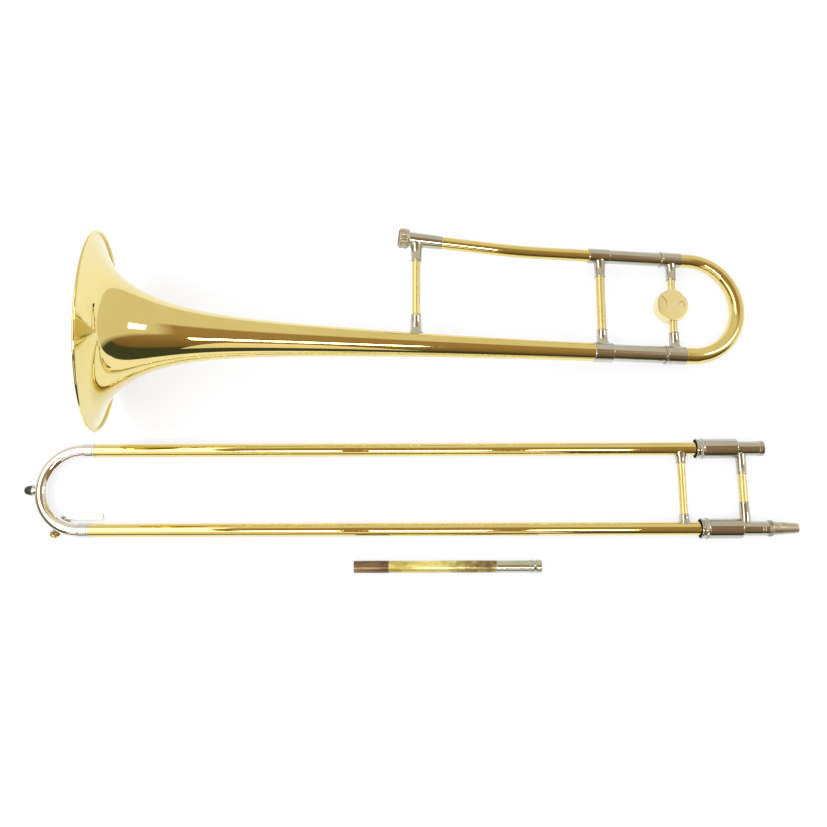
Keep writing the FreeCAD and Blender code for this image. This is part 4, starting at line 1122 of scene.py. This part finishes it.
def make_water_key():
    """Drain nipple, two-lug saddle and slotted screw on the crook; cup, cork, spring and lever that tip."""
    key = key_place()
    tilt = math.radians(20.0)
    heading = Place(key.origin, key.along * math.cos(tilt) - key.up * math.sin(tilt), key.side)
    inside, seat, bore, nipple = 6.3, 9.98, 1.4, 2.75
    turned("water_key_nipple", heading, [
        (inside, bore, 0), (inside, 3.9, 0.1), (inside + 1.2, 3.2, 0.4), (inside + 2.0, nipple, 0.3),
        (seat, nipple, 0.25), (seat, bore, 0.15)], segments=64)
    start, end, radius = heading.span("water_key_cup")
    well, cork_radius = start + 1.3, radius - 1.2
    turned("water_key_cup", heading, [
        (start, cork_radius, 0), (start, radius - 0.05, 0.2), (start + 0.9, radius, 0.3),
        (end - 0.9, radius - 0.15, 0.8), (end, radius - 2.2, 1.2), (end, AXIS, 0), (well, AXIS, 0),
        (well, cork_radius, 0)])
    start, end, radius = heading.span("water_key_cork")
    fine("water_key_cork", revolved(bar(start, end, radius, 0.25), heading))

    pivot_spot = key.local(millimetres(JOINTS["water_key_press"]["pos_m"]))
    pivot = Place(key.at(pivot_spot.x, 0.0, pivot_spot.z), key.side, key.up)
    inward = pivot.origin - key.origin
    lug = Place(key.origin, inward, key.side.cross(inward))
    low, high = 3.1, 4.6
    rim = ribbon([(6.8, 0.0, 2.2), (inward.length, 0.0, 2.2)], 14)
    foot = []
    for along, lift in ((-high - 0.6, 7.6), (-high - 0.3, 8.0), (high + 0.3, 8.0), (high + 0.6, 7.6)):
        ring = []
        for reach, sense in ((lift, 1), (6.9, -1)):
            for degrees in evenly(-24.0, 24.0, 12):
                angle = sense * math.radians(degrees)
                ring.append(lug.at(reach * math.cos(angle), reach * math.sin(angle), along))
        foot.append(ring)
    fine("water_key_saddle", join(
        plate(lug, rim, low, high, 0.2), plate(lug, rim, -high, -low, 0.2), capped(foot)))
    shank = revolved(bar(-high - 0.4, high + 0.1, 0.95, 0.15), pivot, segments=48)
    head = revolved(bar(high + 0.02, high + 0.9, 1.6, 0.25), pivot, segments=48)
    screw = fine("water_key_pivot_screw", join(shank, head))
    cut(screw, box_shape(pivot, (high + 0.5, -2.0, -0.2), (high + 2.0, 2.0, 0.2)))
    springs = [coil(pivot, 2.05, 0.24, start, start + 0.95, 2.5) for start in (-2.72, 1.77)]
    fine("water_key_spring", join(*springs), sharp=60.0)

    floor = key.local(Vector((0, 0, 0))).z
    strap = 1.8
    half = 2.9
    barrel = revolved(rounded([(-half, 1.0, 0.1), (-half, 1.75, 0.2), (half, 1.75, 0.2), (half, 1.0, 0.1)]),
                      pivot, segments=64)
    arm_stops = [(pivot_spot.x, 0, 1.5), (1.0, 0, 1.6), (4.5, 0, 2.6), (9.3, 0, 3.2)]
    arm = plate(key, ribbon(arm_stops), floor, floor + strap)
    block = [(pivot_spot.x + x, y) for x, y in ((-0.9, -1.5), (1.1, -1.5), (1.1, 1.5), (-0.9, 1.5))]
    riser = plate(key, block, floor + 0.3, pivot_spot.z, 0.25)
    start = LEG.local(pivot.origin)
    pad = LEG.extent("water_key_lever")[1].x - 3.5
    stops = [(start.x + along, start.y + side, half_width) for along, side, half_width in (
        (0.0, 0.0, 1.5), (4.5, 1.2, 1.7), (8.0, 1.9, 2.3), (11.5, 2.4, 3.3), (14.5, 2.55, 3.5),
        ((pad - start.x) / 2 + 6.0, 2.8, 3.5), (pad - start.x, 3.1, 3.5))]
    touch = plate(LEG, ribbon(stops, 16), floor + 2.6, floor + 4.3, 0.45)
    fine("water_key_lever", join(barrel, arm, riser, touch))


# ---------------------------------------------------------------- surroundings
GLOW = 0.66       # the table's own light, which keeps it pale
FILL = 0.55       # radiance of the light that keeps out of the reflections


def make_floor():
    """Finite white table: its edges show in the curved metal."""
    below = 0.00002                 # keeps the table's face clear of the object's
    low_z = CAD_BOX[0][2] - below
    size_x, low_y, high_y = 0.62, -0.58, 0.52
    mesh = bpy.data.meshes.new("table_top")
    mesh.from_pydata([(-size_x, low_y, low_z), (size_x, low_y, low_z), (size_x, high_y, low_z),
                      (-size_x, high_y, low_z)], [], [(0, 1, 2, 3)])
    table = bpy.data.objects.new("table_top", mesh)
    bpy.context.scene.collection.objects.link(table)
    shader = Shader("table_top")
    shader.set(Base_Color=(0.32, 0.34, 0.41, 1.0), Roughness=0.8, Emission_Color=(1.0, 1.0, 1.0, 1.0))
    shader.set(Specular_IOR_Level=0.2, Emission_Strength=GLOW)
    mesh.materials.append(shader.material)


def add_area(name, place, aim, size, radiance, colour=(1.0, 1.0, 1.0), glossy=True):
    """Rectangular light of a given radiance that faces a spot."""
    light = bpy.data.lights.new(name, "AREA")
    light.shape = "RECTANGLE"
    light.size, light.size_y = size
    light.energy = radiance * math.pi * size[0] * size[1]
    light.color = colour
    lamp = bpy.data.objects.new(name, light)
    lamp.location = place
    lamp.rotation_euler = (Vector(aim) - Vector(place)).to_track_quat("-Z", "Y").to_euler()
    lamp.visible_glossy = glossy
    lamp.visible_camera = False
    bpy.context.scene.collection.objects.link(lamp)


def make_lights():
    """Three ceiling lamps, one far lamp, a pale board, and a soft fill that keeps out of the reflections."""
    for low, high in ((-0.86, -0.37), (-0.22, 0.354), (0.55, 1.05)):
        spot = ((low + high) / 2, -1.70, 3.0)
        add_area("ceiling_lamp", spot, (spot[0], spot[1], 0.0), (high - low, 0.52), 14.0)
    add_area("far_lamp", (3.2, 0.4, 3.0), (0.0, 0.0, 0.0), (0.9, 1.1), 6.0)
    add_area("left_ceiling", (-2.05, -0.3, 3.0), (-2.05, -0.3, 0.0), (2.3, 4.1), 2.2, (0.97, 1.0, 0.93))
    add_area("pale_board", (-0.9, -3.0, 1.95), (-0.9, 0.0, 1.95), (3.2, 2.0), 0.85, (1.0, 0.92, 0.79))
    add_area("soft_fill", (0.0, 0.3, 2.6), (0.0, 0.0, 0.0), (4.5, 4.5), FILL, (0.88, 0.94, 1.0), glossy=False)


def make_world():
    """The room by direction, for reflections and fill; the camera itself sees plain white."""
    world = bpy.data.worlds.new("room")
    world.use_nodes = True
    world.node_tree.nodes.clear()
    room = Nodes(world.node_tree)
    way = room.axes(room.add("ShaderNodeTexCoord").outputs["Generated"])
    lean = room.worked("ARCTAN2", way["Y"], way["Z"])
    black_green = (0.06, 0.07, 0.05)
    deep_brown = (0.22, 0.14, 0.06)
    brown = (0.40, 0.27, 0.14)
    wall = (0.83, 0.76, 0.62)
    bands = ((-180, wall), (-140, black_green), (-69, black_green), (-62, deep_brown), (-10, brown),
             (20, brown), (28, wall), (180, wall))
    stops = [((degrees + 180) / 360, colour) for degrees, colour in bands]
    around = room.ramp(room.mapped(lean, -math.pi, math.pi), stops, smooth=False)
    rightwards = room.mapped(way["X"], 0.45, 0.6)
    beyond = room.mapped(way["Y"], -0.30, -0.18)
    right_wall = room.worked("MULTIPLY", rightwards, beyond)
    seen = room.add("ShaderNodeBackground")
    room.link(room.mix(right_wall, around, wall), seen.inputs["Color"])
    plain = room.add("ShaderNodeBackground")
    plain.inputs["Color"].default_value = (1.0, 1.0, 1.0, 1.0)
    pick = room.add("ShaderNodeMixShader")
    room.link(room.add("ShaderNodeLightPath").outputs["Is Camera Ray"], pick.inputs["Fac"])
    room.link(seen.outputs["Background"], pick.inputs[1])
    room.link(plain.outputs["Background"], pick.inputs[2])
    room.link(pick.outputs["Shader"], room.add("ShaderNodeOutputWorld").inputs["Surface"])
    bpy.context.scene.world = world
    bpy.context.scene.view_settings.view_transform = "Standard"


def make_camera():
    camera = bpy.data.cameras.new("camera")
    camera.lens = FOCAL
    camera.sensor_width = SENSOR
    viewer = bpy.data.objects.new("camera", camera)
    viewer.location = CAMERA_AT
    viewer.rotation_euler = Euler([math.radians(angle) for angle in CAMERA_TURN], "XYZ")
    bpy.context.scene.collection.objects.link(viewer)
    bpy.context.scene.camera = viewer


# ---------------------------------------------------------------- everything
make_camera()
make_world()
make_lights()
make_floor()
make_bell()
make_bell_tubes()
make_neckpipe()
make_neck_receiver()
make_bell_braces()
make_tuning_slide()
make_counterweight()
make_outer_slide()
make_bumper()
make_inner_slide()
make_slide_ends()
make_leadpipe()
make_water_key()
